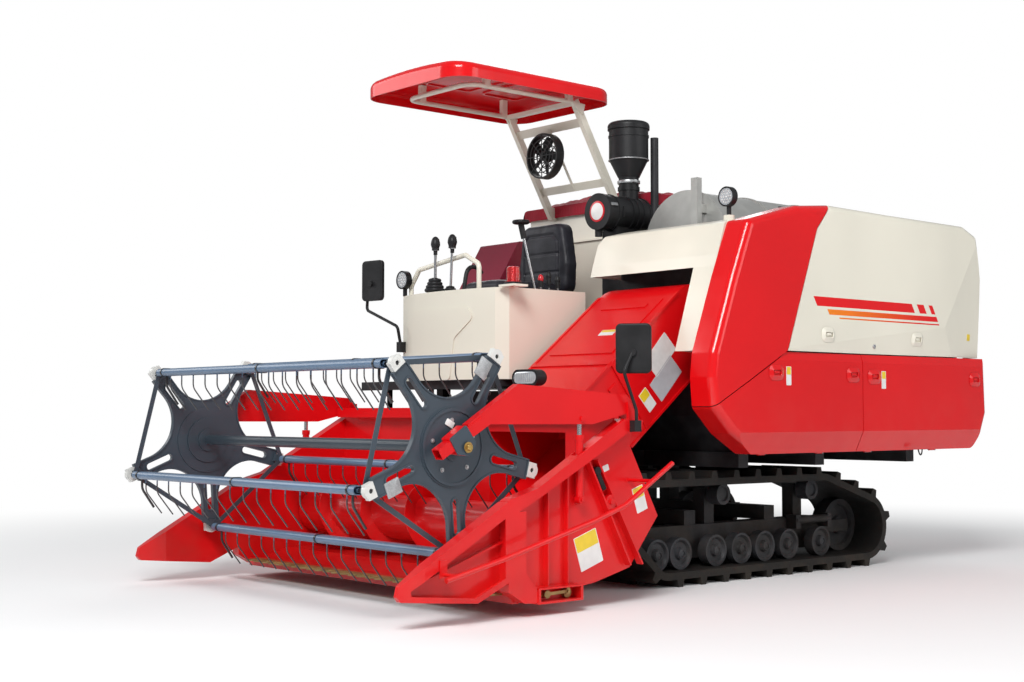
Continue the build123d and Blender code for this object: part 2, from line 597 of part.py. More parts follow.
def platform():
    """Operator's floor with its edge, the supports and the ladder on the right."""
    parts = [block(-1150, 95, -760, 188, 1062, 1100)]
    parts += [block(x, x + 60, -395, -335, CHASSIS_Z1, 1063) for x in (-890.0, -60.0)]
    parts.append(block(-1150, 95, -766, -759, 1050, 1100))
    for y in (-560.0, -240.0):
        parts.append(bar_x((y, 1064), (y, 420), 34, -1150, -1138))
    for z in (440.0, 650.0, 860.0):
        parts.append(block(-1148, -1020, -560, -240, z, z + 22))
        parts.append(block(-1050, -1020, -560, -548, z, z + 22))
    return joined(parts)


def console_plan(grow=0.0):
    """Bowed front and rounded corners of the console, seen from above."""
    bow = ThreePointArc((-780, -730 - grow), (-350, -800 - grow), (72, -745 - grow))
    lines = [bow, Polyline((72, -745 - grow), (128, -690), (128, -120), (-832, -120),
                           (-832, -650), (-780, -730 - grow))]
    return make_face(lines)


def console():
    """Cream bowed front, side plate and deck round the operator's place."""
    plan = console_plan()
    inner = offset(plan, -18)
    wall = Pos(0, 0, PLATFORM_Z) * extrude(plan - inner, CONSOLE_Z - PLATFORM_Z)
    wall -= block(-840, 60, -560, -100, PLATFORM_Z - 1, CONSOLE_Z + 1)
    wall -= block(-840, -700, -620, -100, PLATFORM_Z - 1, CONSOLE_Z + 1)
    raised = Pos(0, 0, PLATFORM_Z) * extrude(console_plan(7) - plan, CONSOLE_Z - PLATFORM_Z)
    panel = [(-600, 1100), (-250, 1100), (-215, 1330), (-70, 1440), (-110, 1500), (-640, 1500),
             (-720, 1440), (-630, 1330)]
    raised &= prism_y(panel, -900, -650, 30)
    deck = Pos(0, 0, CONSOLE_Z - 40) * extrude(inner, 8)
    deck &= block(-830, 130, -900, -640, CONSOLE_Z - 41, CONSOLE_Z - 31)
    shelf = block(60, 234, -752, -648, CONSOLE_Z - 2, CONSOLE_Z + 10)
    shelf -= block(60, 112, -753, -700, CONSOLE_Z - 3, CONSOLE_Z + 11)
    return joined([wall, raised, deck, shelf])


def handrail():
    """Bent tube along the console's right top edge."""
    foot = CONSOLE_Z - 32
    pts = [(-764, -684, foot), (-764, -684, 1660), (-680, -690, 1750), (-250, -690, 1805),
           (-130, -690, 1745), (-130, -690, foot)]
    path = FilletPolyline(*pts, radius=35)
    start = Plane(origin=path @ 0, z_dir=path % 0)
    return sweep(start * Circle(14), path=path)


def control_levers():
    """Two long levers with knobs and the short ones beside the seat."""
    parts = []
    for x, y, lean, radius, top in ((-470.0, -735.0, 16.0, 8.0, 1868.0),
                                    (-330.0, -735.0, 30.0, 7.0, 1868.0)):
        foot = (x, y, CONSOLE_Z - 26)
        head = (x + lean, y - 10, top)
        lever = rod(radius, foot, head)
        knob = rod(21, (x + lean * 0.9, y - 9, top - 26), (x + lean * 1.2, y - 12, top + 40))
        boot = Pos(x, y, CONSOLE_Z - 8 + SEAT) * Cone(34, 12, 48)
        parts.append(joined([lever, knob, boot]))
    plate = block(-100, 40, -330, -120, 1395, 1407)
    post = block(-50, -10, -250, -210, PLATFORM_Z, 1396)
    for y, top in ((-300.0, 1640.0), (-240.0, 1660.0), (-170.0, 1640.0)):
        plate += rod(6, (-30, y, 1400), (-30, y - 18, top))
        plate += rod(14, (-30, y - 17, top - 12), (-30, y - 21, top + 30))
    parts.append(joined([plate, post]))
    return parts


def beacon():
    """Warning lamp on the shelf at the console's left corner."""
    dome = fillet(rod_z(36, CONSOLE_Z + 10 + SEAT, 1706, 172, -700).edges().sort_by(Axis.Z)[-1], 9)
    return joined([dome, rod_z(46, CONSOLE_Z + 10 + SEAT, 1624, 172, -700)])


def seat_base():
    """Seat stand on the engine cover with the back's bracket."""
    stand = block(-560, -240, -330, 60, 1100 + SEAT, 1540)
    return joined([stand, block(-460, -340, 14, 110, 1500, 1606 - SEAT)])


def seat_cushion():
    """Seat cushion, wider at its back and rounded at its front."""
    plan = prism_z([(-632, 10), (-178, 10), (-196, -440), (-250, -470), (-560, -470),
                    (-614, -440)], 1540 + SEAT, 1670, 36)
    return fillet(plan.faces().sort_by(Axis.Z)[-1].edges(), 34)


def seat_back():
    """Raked seat back with a rounded top."""
    face = side_face([(-628, 1606), (-182, 1606), (-170, 1800), (-215, 2064), (-595, 2064),
                      (-640, 1800)], 70)
    stood = Plane(origin=(0, 30, 0), x_dir=(1, 0, 0), z_dir=(0, -1, 0)) * face
    pad = extrude(stood, -86)
    return fillet(pad.faces().sort_by(Axis.Y)[0].edges(), 26)


def canopy_arc(depth):
    """Crown line of the roof in the front view, sunk by a depth, as a solid."""
    left, right = CANOPY_X - CANOPY_HALF - 5, CANOPY_X + CANOPY_HALF + 5
    top, side = CANOPY_CROWN - depth, CANOPY_CROWN - CANOPY_DROP - depth
    low = CANOPY_CROWN - 2 * CANOPY_DEEP
    crown = ThreePointArc((left, side), (CANOPY_X, top), (right, side))
    face = make_face([crown, Polyline((right, side), (right, low), (left, low), (left, side))])
    stood = Plane(origin=(0, CANOPY_Y0 - 1, 0), x_dir=(1, 0, 0), z_dir=(0, -1, 0)) * face
    return extrude(stood, CANOPY_Y0 - CANOPY_Y1 - 2)


def canopy_form(depth):
    """Outer form of the roof, shrunk by a depth: rounded in plan and at its rim."""
    y0, y1 = CANOPY_Y0 + depth, CANOPY_Y1 - depth
    half = CANOPY_HALF - depth
    plan = Pos(CANOPY_X, (y0 + y1) / 2) * RectangleRounded(2 * half, y1 - y0, 150 - depth)
    low = CANOPY_CROWN - CANOPY_DEEP - (30 if depth else 0)
    form = Pos(0, 0, low) * extrude(plan, CANOPY_CROWN - low + 10)
    form &= canopy_arc(depth)
    rim = form.edges().filter_by(lambda edge: edge.center().Z > CANOPY_CROWN - 2 * CANOPY_DROP
                                 - depth)
    return fillet(rim, 44 - depth)


def canopy_roof():
    """Crowned roof shell with its turned-down rim and pressed ribs underneath."""
    shell = canopy_form(0.0) - canopy_form(CANOPY_SHEET)
    ribs = canopy_form(CANOPY_SHEET - 1) - canopy_form(CANOPY_SHEET + 8)
    frames = Sketch()
    for y, length in ((-430.0, 360.0), (-20.0, 300.0)):
        ring = RectangleRounded(430, length, 40) - RectangleRounded(406, length - 24, 30)
        frames += Pos(CANOPY_X, y) * ring
    ribs &= Pos(0, 0, CANOPY_CROWN - CANOPY_DEEP) * extrude(frames, CANOPY_DEEP)
    return joined([shell, *ribs.solids()])


def canopy_frame():
    """Two raked posts, their cross bars and the tube loop under the roof."""
    low, top = Vector(*POST_LOW), Vector(*POST_TOP)
    rake = (top - low).normalized()
    foot = low - rake * 20
    left, right = POST_X0, POST_X1
    parts = []
    for x in (left, right):
        parts.append(bar_x((foot.X, foot.Y), (top.X, top.Y), 44, x - 16, x + 16))
        gusset = side_face([(470, 2150), (500 - SEAT, 2150), (500 - SEAT, 2200), (485, 2200),
                            (485, 2225), (420, 2240), (428, 2205)])
        parts.append(prism_x(gusset, x - 22, x + 22))
        web = side_face([(top.X - 40, LOOP_Z), (top.X + 70, LOOP_Z - 6),
                         (top.X + 52, LOOP_Z - 70), (top.X - 6, LOOP_Z - 34)])
        parts.append(prism_x(web, x - 4, x + 22 if x > CANOPY_X else x + 4))
        share = (abs(x - CANOPY_X) + 14) / CANOPY_HALF
        under = CANOPY_CROWN - CANOPY_DROP * share ** 2 - CANOPY_SHEET - SEAT
        for y in (-600.0, 40.0):
            parts.append(block(x - 14, x + 14, y, y + 40, LOOP_Z, under))
    for share in (0.235, 0.80):
        middle = low + (top - low) * share
        a, b = middle - rake * 26, middle + rake * 26
        parts.append(bar_x((a.X, a.Y), (b.X, b.Y), 7, left + 15, right - 15))
    loop = FilletPolyline((left, 110, LOOP_Z), (left, -700, LOOP_Z), (right, -700, LOOP_Z),
                          (right, 110, LOOP_Z), radius=90)
    parts.append(sweep(Plane(origin=loop @ 0, z_dir=loop % 0) * Circle(14), path=loop))
    parts.append(block(left, right, 80, 124, LOOP_Z - 13, LOOP_Z + 9))
    parts.append(rod(8, (FAN_X, 384, 2309), (FAN_X, 171, 2665)))
    return joined(parts)


def fan_cage():
    """Round guard of the operator's fan, its motor and stub on the frame's bar."""
    y0 = FAN_Y
    ring = rod_y(140, y0, y0 + 60, FAN_X, FAN_Z) - rod_y(130, y0 - 1, y0 + 61, FAN_X, FAN_Z)
    parts = [ring]
    for index in range(4):
        for y in (y0 + 2, y0 + 57):
            spoke = Pos(FAN_X, y, FAN_Z) * Rot(0, index * 45, 0) * Box(266, 4, 5)
            parts.append(spoke)
    for radius in (46.0, 74.0, 102.0):
        for y in (y0, y0 + 55):
            wire = rod_y(radius + 2.5, y, y + 4, FAN_X, FAN_Z)
            parts.append(wire - rod_y(radius - 2.5, y - 1, y + 5, FAN_X, FAN_Z))
    parts.append(rod_y(36, y0 + 40, y0 + 62, FAN_X, FAN_Z))
    parts.append(rod_y(14, y0 + 61, 258, FAN_X, FAN_Z))
    return joined(parts)


def fan_rotor():
    """Hub and five blades of the fan."""
    parts = [rod_y(30, FAN_Y + 10, FAN_Y + 40 - SEAT, FAN_X, FAN_Z)]
    outline = make_face(Polyline((24, -9), (44, -19), (70, -34), (116, -40), (120, 10), (80, 26), (20, 18),
                                 close=True))
    blade = Rot(28, 0, 0) * Rot(90, 0, 0) * extrude(outline, 1.5, both=True)
    for index in range(5):
        parts.append(Pos(FAN_X, FAN_Y + 24, FAN_Z) * Rot(0, index * 72, 0) * blade)
    return joined(parts)


def air_cleaner():
    """Ribbed canister, its neck and the pre-cleaner with its tapered bowl."""
    x, z = 0.0, 2095.0
    parts = [rod_y(103, 104, 450, x, z), rod_y(108, 100, 128, x, z)]
    for y, width in ((182, 10), (300, 14), (344, 14), (388, 14), (440, 14)):
        parts.append(rod_y(109, y, y + width, x, z))
    parts.append(rod_y(112, 212, 226, x, z) & block(-200, 200, 0, 400, z - 30, z + 30))
    parts.append(rod_z(22, 1950, 2010, -18, 128))
    parts.append(rod_z(60, 2150, 2340, x, 362))
    parts.append(rod_z(66, 2240, 2262, x, 362))
    bowl = Pos(x, 362, 2372) * Cone(64, 116, 104)
    lid = fillet(rod_z(126, 2606, 2652, x, 362).edges().sort_by(Axis.Z)[-1], 26)
    parts += [bowl, rod_z(118, 2422, 2608, x, 362), lid, rod_z(122, 2560, 2572, x, 362)]
    parts.append(block(-60, 60, 200, 380, BODY_Z1, 2030))
    return joined(parts)


def exhaust_pipe():
    """Upright exhaust pipe behind the air cleaner."""
    outer = rod_z(24, BODY_Z1, 2560, 100, 480)
    return outer - rod_z(20, 2300, 2561, 100, 480)


def work_lamps():
    """Round lamps on the bonnet and beside the console."""
    parts = []
    for x, y, z, foot in ((1000, 110, 2072, 1972), (-770, -725, 1695, CONSOLE_Z)):
        shell = rod_y(54, y - 26, y + 10, x, z)
        back = Pos(x, y + 13, z) * Rot(-90, 0, 0) * Cone(52, 36, 8)
        face = rod_y(47, y - 27, y - 20, x, z)
        stem = block(x - 9, x + 9, y - 9, y + 9, foot + SEAT, z - 30)
        parts.append(joined([shell - face, back, stem]))
    return parts


def mirror_right():
    """Mirror at the right of the console on its bent stalk."""
    head = mirror_head(-970, -815, 1700, 8)
    path = FilletPolyline((-756, -766, 1310), (-756, -790, 1420), (-1050, -800, 1530),
                          (-1050, -790, 1700), (-978, -796, 1700), radius=30)
    stalk = sweep(Plane(origin=path @ 0, z_dir=path % 0) * Circle(9), path=path)
    foot = block(-776, -736, -782, -725, 1270, 1330)
    foot -= Pos(0, 0, PLATFORM_Z) * extrude(console_plan(SEAT), CONSOLE_Z - PLATFORM_Z)
    return joined([head, stalk, foot])


# ================================================================ unloading auger
UNLOADER_X, UNLOADER_Y = -900.0, 1930.0
UNLOADER_R = 75.0
UNLOADER_SEAM_Z = 1980.0
UNLOADER_Z = 2115.0
UNLOADER_REACH = 1350.0


def unloader_base():
    """Upright unloading tube at the right rear corner with its seam flange."""
    x, y = UNLOADER_X, UNLOADER_Y
    tube = rod_z(UNLOADER_R, CHASSIS_Z1 + 15, UNLOADER_SEAM_Z, x, y)
    flange = rod_z(UNLOADER_R + 16, UNLOADER_SEAM_Z - 14, UNLOADER_SEAM_Z, x, y)
    foot = block(x - 90, x + 120, y - 85, y + 85, CHASSIS_Z1, CHASSIS_Z1 + 16)
    rings = [rod_z(UNLOADER_R + 6, z, z + 20, x, y) for z in (1150.0, 1560.0)]
    arm = block(x + 60, BODY_X0_LEFT - SEAT, y - 20, y + 20, 1560, 1600)
    return joined([tube, flange, foot, *rings, arm])


def unload_tube():
    """Swinging elbow and horizontal tube with its open spout, stowed across the rear."""
    x, y, z = UNLOADER_X, UNLOADER_Y, UNLOADER_Z
    end = x + UNLOADER_REACH
    elbow = rod_z(UNLOADER_R, UNLOADER_SEAM_Z + SEAT, z, x, y)
    flange = rod_z(UNLOADER_R + 16, UNLOADER_SEAM_Z + SEAT, UNLOADER_SEAM_Z + 14, x, y)
    ball = Pos(x, y, z) * Sphere(UNLOADER_R)
    tube = rod_x(UNLOADER_R, x, end, y, z)
    rings = [rod_x(UNLOADER_R + 8, at, at + 16, y, z) for at in (x + 110, x + 640, end - 190)]
    spout = block(end - 150, end, y - 68, y + 68, z - 170, z)
    throat = block(end - 144, end - 6, y - 62, y + 62, z - 171, z - 20)
    return joined([elbow, flange, ball, tube, *rings, spout]) - throat


# ================================================================ header
MIRROR_WIDE, MIRROR_TALL = 172.0, 240.0


def mirror_head(x, y, z, turn):
    """Rounded mirror head turned about its upright middle."""
    head = extrude(RectangleRounded(MIRROR_WIDE, MIRROR_TALL, 26), 12, both=True)
    head = fillet(head.faces().sort_by(Axis.Z)[-1].edges(), 9)
    socket = Pos(0, -20, 16) * Cylinder(16, 20)
    return Pos(x, y, z) * Rot(0, 0, turn) * Rot(90, 0, 0) * joined([head, socket])


def header_fittings():
    """Left mirror on its stalk, its clamp, and the strut between the side's ribs."""
    head = mirror_head(1232, -856, 1226, 35.6)
    path = FilletPolyline((HEADER_X + 22, -828, 840), (HEADER_X + 22, -828, 930),
                          (HEADER_X + 40, -930, 1110), (1238, -872, 1206), radius=40)
    stalk = sweep(Plane(origin=path @ 0, z_dir=path % 0) * Circle(8), path=path)
    clamp = block(HEADER_X + SEAT, HEADER_X + 34, -852, -806, 828, 882)
    strut = rod(16, (SIDE_X + 22, -1040, 645), (SIDE_X + 22, -992, 557))
    foot = rod_x(19, SIDE_X + SEAT, SIDE_X + 38, -1040, 645)
    return [joined([head, stalk, clamp]), joined([strut, foot])]


def header_lamp():
    """Wide lamp on the header's top beam."""
    base = HEADER_BACK_Y - 25
    shell = Pos(563, base, 1096) * Rot(90, 0, 0) * extrude(SlotOverall(196, 84), 42, both=True)
    shell = fillet(shell.faces().sort_by(Axis.Y)[-1].edges(), 34)
    face = Pos(563, base - 43, 1096) * Rot(90, 0, 0) * extrude(SlotOverall(176, 66), 6, both=True)
    foot = block(545, 581, base - 12, base + 20, 945 + SEAT, 1062)
    return joined([shell - face, foot])


# header side behind the nose in the side view: (y, z)
SIDE_OUTLINE = [
    (NOSE_Y, 525), (-1592, 536), (-1436, 579), (-1166, 730), (-881, 890), (-760, 884),
    (-793, 765), (-599, 414), (-670, 330), (-797, 175), (-1028, 120), (-1159, 104),
    (-1429, 60), (-1518, 66), (NOSE_Y, 122)]
# folded flange along the side's top edge: its outer edge above, its lip's edge below
FLANGE_TOP = SIDE_OUTLINE[:6]
FLANGE_LIP = [(-772, 830), (-864, 824), (-1139, 679), (-1436, 530), (NOSE_Y, 450)]
NOSE_OUTLINE = [(-2216, 148), (-2203, 194), (NOSE_Y, 526), (NOSE_Y, 166), (-1790, 90),
                (-2198, 126)]
NOSE_POCKET = [(-2150, 168), (-1632, 450), (-1632, 186), (-1800, 114), (-2145, 146)]
NOSE_PLAN = [(HEADER_X, NOSE_Y), (HEADER_X, -2080), (1184, -2216), (1160, -2216),
             (SIDE_IN, -2060), (SIDE_IN, NOSE_Y)]
# upright and slanted ribs on a header side: start, end, width, reach
SIDE_RIBS = [
    ((-1350, 120), (-1350, 575), 8, 1172),
    ((-1222, 128), (-1222, 640), 8, 1166),
    ((-1095, 690), (-822, 190), 9, 1178),
    ((-1040, 696), (-742, 190), 9, 1178),
    ((-1500, 505), (-1240, 630), 8, 1166),
]
DRIVE_Y0, DRIVE_Y1, DRIVE_Z0, DRIVE_Z1 = -1441.0, -1165.0, 56.0, 128.0
DRIVE_CRANK, DRIVE_PIN, DRIVE_ROCKER = (-1230.0, 92.0), (-1240.0, 99.0), (-1370.0, 95.0)


def folded_flange():
    """Channel folded outward along the top edge of a header side."""
    section = side_face([*FLANGE_TOP, *FLANGE_LIP])
    flange = prism_x(section, SIDE_X - 1, HEADER_X)
    return flange - prism_x(Pos(0, -SHEET * 1.3) * section, SIDE_X, HEADER_X - SHEET)


def knife_drive_box():
    """Open box at a side's foot that houses the knife's drive."""
    box = block(SIDE_X - 1, HEADER_X + 6, DRIVE_Y0, DRIVE_Y1, DRIVE_Z0, DRIVE_Z1)
    return box - block(SIDE_X + 6, HEADER_X + 7, DRIVE_Y0 + 14, DRIVE_Y1 - 14,
                       DRIVE_Z0 + 10, DRIVE_Z1 - 8)


def header_side():
    """Side plate with its flange, post, ribs, pivot boss and drive box."""
    post = side_face([(NOSE_Y, 478), (-1510, 478), (-1510, 200), (-1446, 126), (-1429, 61),
                      (-1518, 67), (NOSE_Y, 122)])
    parts = [prism_x(side_face(SIDE_OUTLINE), SIDE_IN, SIDE_X), folded_flange(),
             prism_x(post, SIDE_X - 1, HEADER_X), knife_drive_box()]
    for start, end, width, reach in SIDE_RIBS:
        parts.append(bar_x(start, end, width, SIDE_X - 1, reach))
    parts.append(rod_x(34, SIDE_X - 1, 1176, -952, 497))
    parts.append(rod_x(14, SIDE_X - 1, 1186, -952, 497))
    parts.append(rod_x(26, SIDE_X - 1, SIDE_X + 5, REEL_CYL_Y, REEL_CYL_FOOT))
    parts.append(rod_x(10, SIDE_X - 1, ARM_X + 26, REEL_CYL_Y, REEL_CYL_FOOT))
    side = joined(parts)
    return side - block(ARM_X - 26, ARM_X + 26, REEL_CYL_Y - 32, REEL_CYL_Y + 32, 670, 800)


def divider_nose():
    """Crop divider's nose: a pressed wedge, open on its outer side, with a rib."""
    plan = side_face(NOSE_PLAN)
    wedge = prism_x(side_face(NOSE_OUTLINE, 6), SIDE_IN, HEADER_X) & extrude(plan, 1000)
    hollow = prism_x(offset(side_face(NOSE_OUTLINE), -SHEET), SIDE_IN, HEADER_X)
    hollow &= extrude(offset(plan, -SHEET), 1000)
    mouth = prism_x(side_face(NOSE_POCKET), SIDE_X + 20, HEADER_X + 1)
    rib = bar_x((-2125, 176), (NOSE_Y - 4, 346), 10, SIDE_X, SIDE_X + 26)
    rib &= extrude(offset(plan, -2), 1000)
    return joined([wedge - hollow - mouth, rib])


def divider_rod():
    """Outer divider rod that bends along the side plate."""
    pts = [(1290, -2038, 214), (1296, -1728, 284), (1300, -1180, 426), (1300, -984, 487),
           (1296, -658, 676)]
    path = FilletPolyline(*pts, radius=300)
    start = Plane(origin=path @ 0, z_dir=path % 0)
    rod_shape = sweep(start * Circle(12), path=path)
    front = rod_x(9, HEADER_X + 4, 1292, -1985, 228)
    plate = block(HEADER_X + SEAT, HEADER_X + 8, -2004, -1966, 214, 290)
    rear = rod_x(9, SIDE_X + SEAT, 1292, -800, 594)
    return joined([rod_shape, front, plate, rear])


def header_frame():
    """Trough, back wall with the feeder mouth, top beam and side plates."""
    inner_x = SIDE_IN
    back = HEADER_BACK_Y
    r_out = TROUGH_R + SHEET
    low = AUGER_Z - TROUGH_R
    turn = math.radians(-45)
    bend_in = (AUGER_Y + TROUGH_R * math.cos(turn), AUGER_Z + TROUGH_R * math.sin(turn))
    bend_out = (AUGER_Y + r_out * math.cos(turn), AUGER_Z + r_out * math.sin(turn))
    front = KNIFE_Y + 20
    lines = [
        Line((front, 92), (-1440, 92)),
        Line((-1440, 92), (-1290, low - SHEET)),
        Line((-1290, low - SHEET), (AUGER_Y, low - SHEET)),
        ThreePointArc((AUGER_Y, low - SHEET), bend_out, (back + SHEET, AUGER_Z)),
        Polyline((back + SHEET, AUGER_Z), (back + SHEET, 945), (back - 55, 945), (back - 55, 890),
                 (back, 890), (back, AUGER_Z)),
        ThreePointArc((back, AUGER_Z), bend_in, (AUGER_Y, low)),
        Polyline((AUGER_Y, low), (-1288, low), (-1440, 99), (front, 99), (front, 92)),
    ]
    profile = make_face(lines)
    trough = prism_x(profile, -inner_x + SEAT, inner_x - SEAT)
    mouth = block(FEEDER_X0 + SHEET, FEEDER_X1 - SHEET, HEADER_BACK_Y - 20, HEADER_BACK_Y + 20,
                  380, 820)
    trough -= mouth
    beam = block(-inner_x + SEAT, inner_x - SEAT, KNIFE_Y + 20, KNIFE_Y + 60, 60, 92)
    lugs_ = [block(x, x + 10, ARM_PIVOT_Y - 25, ARM_PIVOT_Y + 25, 875, ARM_PIVOT_Z + 25)
             for x in (ARM_X - 32, ARM_X + 22)]
    pin = rod_x(12, ARM_X - 32, ARM_X + 32, ARM_PIVOT_Y, ARM_PIVOT_Z)
    stub = rod_x(25, inner_x - 30, inner_x + 1, AUGER_Y, AUGER_Z)
    side = joined([header_side(), *lugs_, pin, stub])
    return [joined([trough, beam]), *both_sides(side)]


def knife_guards():
    """Guard fingers under the knife, one at every pitch."""
    count = math.floor(2 * 1078 / KNIFE_PITCH)
    x0 = -count * KNIFE_PITCH / 2
    points = [(x0, KNIFE_Y + 20)]
    for index in range(count):
        x = x0 + index * KNIFE_PITCH
        points += [(x, KNIFE_Y - 20), (x + KNIFE_PITCH / 2 - 6, KNIFE_Y - 60),
                   (x + KNIFE_PITCH / 2 + 6, KNIFE_Y - 60), (x + KNIFE_PITCH, KNIFE_Y - 20)]
    points.append((x0 + count * KNIFE_PITCH, KNIFE_Y + 20))
    clean = [points[0]]
    for point in points[1:]:
        if point != clean[-1]:
            clean.append(point)
    return [prism_z(clean, KNIFE_Z - 14, KNIFE_Z - 6), knife_drive()]


def knife_drive():
    """Crank disc, rod and rocker of the knife's drive in the box at the left."""
    x = SIDE_X + SHEET + SEAT
    disc = rod_x(24, x, x + 22, *DRIVE_CRANK)
    pin = rod_x(7, x, x + 44, DRIVE_PIN[0], DRIVE_PIN[1])
    head = rod_x(14, x + 21, x + 37, DRIVE_PIN[0], DRIVE_PIN[1])
    link = bar_x(DRIVE_PIN, DRIVE_ROCKER, 14, x + 25, x + 35)
    rocker = rod_x(18, x, x + 40, *DRIVE_ROCKER)
    arm = bar_x(DRIVE_ROCKER, (DRIVE_ROCKER[0] - 48, DRIVE_ROCKER[1] - 10), 14, x + 2, x + 20)
    return joined([disc, pin, head, link, rocker, arm])


def knife_bar():
    """Sickle with triangular sections that slides on the guards."""
    count = round(2060 / KNIFE_PITCH)
    x0 = -count * KNIFE_PITCH / 2
    z0 = KNIFE_Z - 6 + SEAT
    points = [(x0, KNIFE_Y + 18)]
    for index in range(count):
        x = x0 + index * KNIFE_PITCH
        points += [(x + 1, KNIFE_Y - 6), (x + KNIFE_PITCH / 2 - 8, KNIFE_Y - 50),
                   (x + KNIFE_PITCH / 2 + 8, KNIFE_Y - 50), (x + KNIFE_PITCH - 1, KNIFE_Y - 6)]
    points.append((x0 + count * KNIFE_PITCH, KNIFE_Y + 18))
    return prism_z(points, z0, z0 + 5)


def feeder_frame(along, normal):
    """Side-view point of the feeder: so far from its hinge, so far off its middle."""
    turn = math.radians(FEEDER_SLOPE)
    y = HINGE_Y - along * math.cos(turn) - normal * math.sin(turn)
    return y, HINGE_Z - along * math.sin(turn) + normal * math.cos(turn)


def feeder_trim():
    """Lid, cross seam, edge flanges and side stiffeners on the feeder."""
    top = FEEDER_R
    lid = bar_x(feeder_frame(70, top + 2), feeder_frame(560, top + 2), 8,
                FEEDER_X0 + 60, FEEDER_X1 - 60)
    grip = bar_x(feeder_frame(120, top + 6), feeder_frame(150, top + 6), 12,
                 FEEDER_X0 + 130, FEEDER_X1 - 130)
    seam = bar_x(feeder_frame(640, top), feeder_frame(664, top), 16, FEEDER_X0, FEEDER_X1)
    parts = [lid, grip, seam]
    for x0 in (FEEDER_X0 - 8, FEEDER_X1 - 10):
        parts.append(bar_x(feeder_frame(10, top - 2), feeder_frame(1060, top - 2), 14,
                           x0, x0 + 18))
        parts.append(bar_x(feeder_frame(60, -top + 4), feeder_frame(800, -top + 4), 12,
                           x0, x0 + 18))
    for x0 in (FEEDER_X0 - 10, FEEDER_X1 - 1):
        parts.append(bar_x(feeder_frame(640, -top + 10), feeder_frame(640, top - 10), 30,
                           x0, x0 + 11))
        parts.append(bar_x(feeder_frame(720, -70), feeder_frame(720, 120), 60, x0, x0 + 11))
    return parts


def feeder_house():
    """Conveyor housing from the header's back up to the thresher inlet."""
    length = 1400.0
    quad = [feeder_frame(0, FEEDER_R), feeder_frame(length, FEEDER_R),
            feeder_frame(length, -FEEDER_R), feeder_frame(0, -FEEDER_R)]
    face = side_face(quad) + Pos(HINGE_Y, HINGE_Z) * Circle(FEEDER_R)
    back = HEADER_BACK_Y + SHEET
    ahead = block(FEEDER_X0 - 20, FEEDER_X1 + 20, back, HINGE_Y + 400, 330, 2000)
    body = joined([prism_x(face, FEEDER_X0, FEEDER_X1), *feeder_trim()]) & ahead
    inner = offset(face, -SHEET)
    cavity = prism_x(inner, FEEDER_X0 + SHEET, FEEDER_X1 - SHEET)
    cavity &= block(FEEDER_X0, FEEDER_X1, back - 1, -400, 340, 2000)
    for x0, x1 in ((FEEDER_X0 - 20, FEEDER_X0 + PIVOT_DEPTH + 1),
                   (FEEDER_X1 - PIVOT_DEPTH - 1, FEEDER_X1 + 20)):
        body -= rod_x(PIVOT_R + FIT, x0, x1, HINGE_Y, HINGE_Z)
    parts = [body - cavity]
    for x in (LIFT_X - 36, LIFT_X + 26):
        ear = block(x, x + 10, LIFT_EYE_Y - 35, LIFT_EYE_Y + 45, LIFT_EYE_Z - 25, LIFT_EYE_Z + 120)
        parts.append(ear - cavity)
    parts.append(rod_x(12, LIFT_X - 36, LIFT_X + 36, LIFT_EYE_Y, LIFT_EYE_Z))
    return joined(parts)


def auger():
    """Cross auger: drum, left and right flights and the middle fingers."""
    inner_x = SIDE_IN
    x0, x1 = -(inner_x - 12), inner_x - 12
    drum = rod_x(AUGER_DRUM_R, x0, x1, AUGER_Y, AUGER_Z)
    drum -= rod_x(25 + FIT, x0 - 1, x0 + 30, AUGER_Y, AUGER_Z)
    drum -= rod_x(25 + FIT, x1 - 30, x1 + 1, AUGER_Y, AUGER_Z)
    parts = [drum]
    radius = (AUGER_R + AUGER_DRUM_R) / 2
    for hand, start, length in ((False, x0 + 20, FEEDER_X0 - x0 - 20),
                                (True, FEEDER_X1, x1 - 20 - FEEDER_X1)):
        path = Helix(pitch=AUGER_PITCH, height=length, radius=radius, lefthand=hand)
        plane = Plane(origin=path @ 0, z_dir=path % 0, x_dir=(1, 0, 0))
        strip = sweep(plane * Rectangle(AUGER_R - AUGER_DRUM_R + 6, 6), path=path, is_frenet=True)
        parts.append(Pos(start, AUGER_Y, AUGER_Z) * Rot(0, 90, 0) * strip)
    for index in range(8):
        x = FEEDER_X0 + 60 + index * 68
        y, z = polar(index * 135, AUGER_DRUM_R - 5, AUGER_Y, AUGER_Z)
        yy, zz = polar(index * 135, AUGER_R - 5, AUGER_Y, AUGER_Z)
        parts.append(rod(7, (x, y, z), (x, yy, zz)))
    return joined(parts)


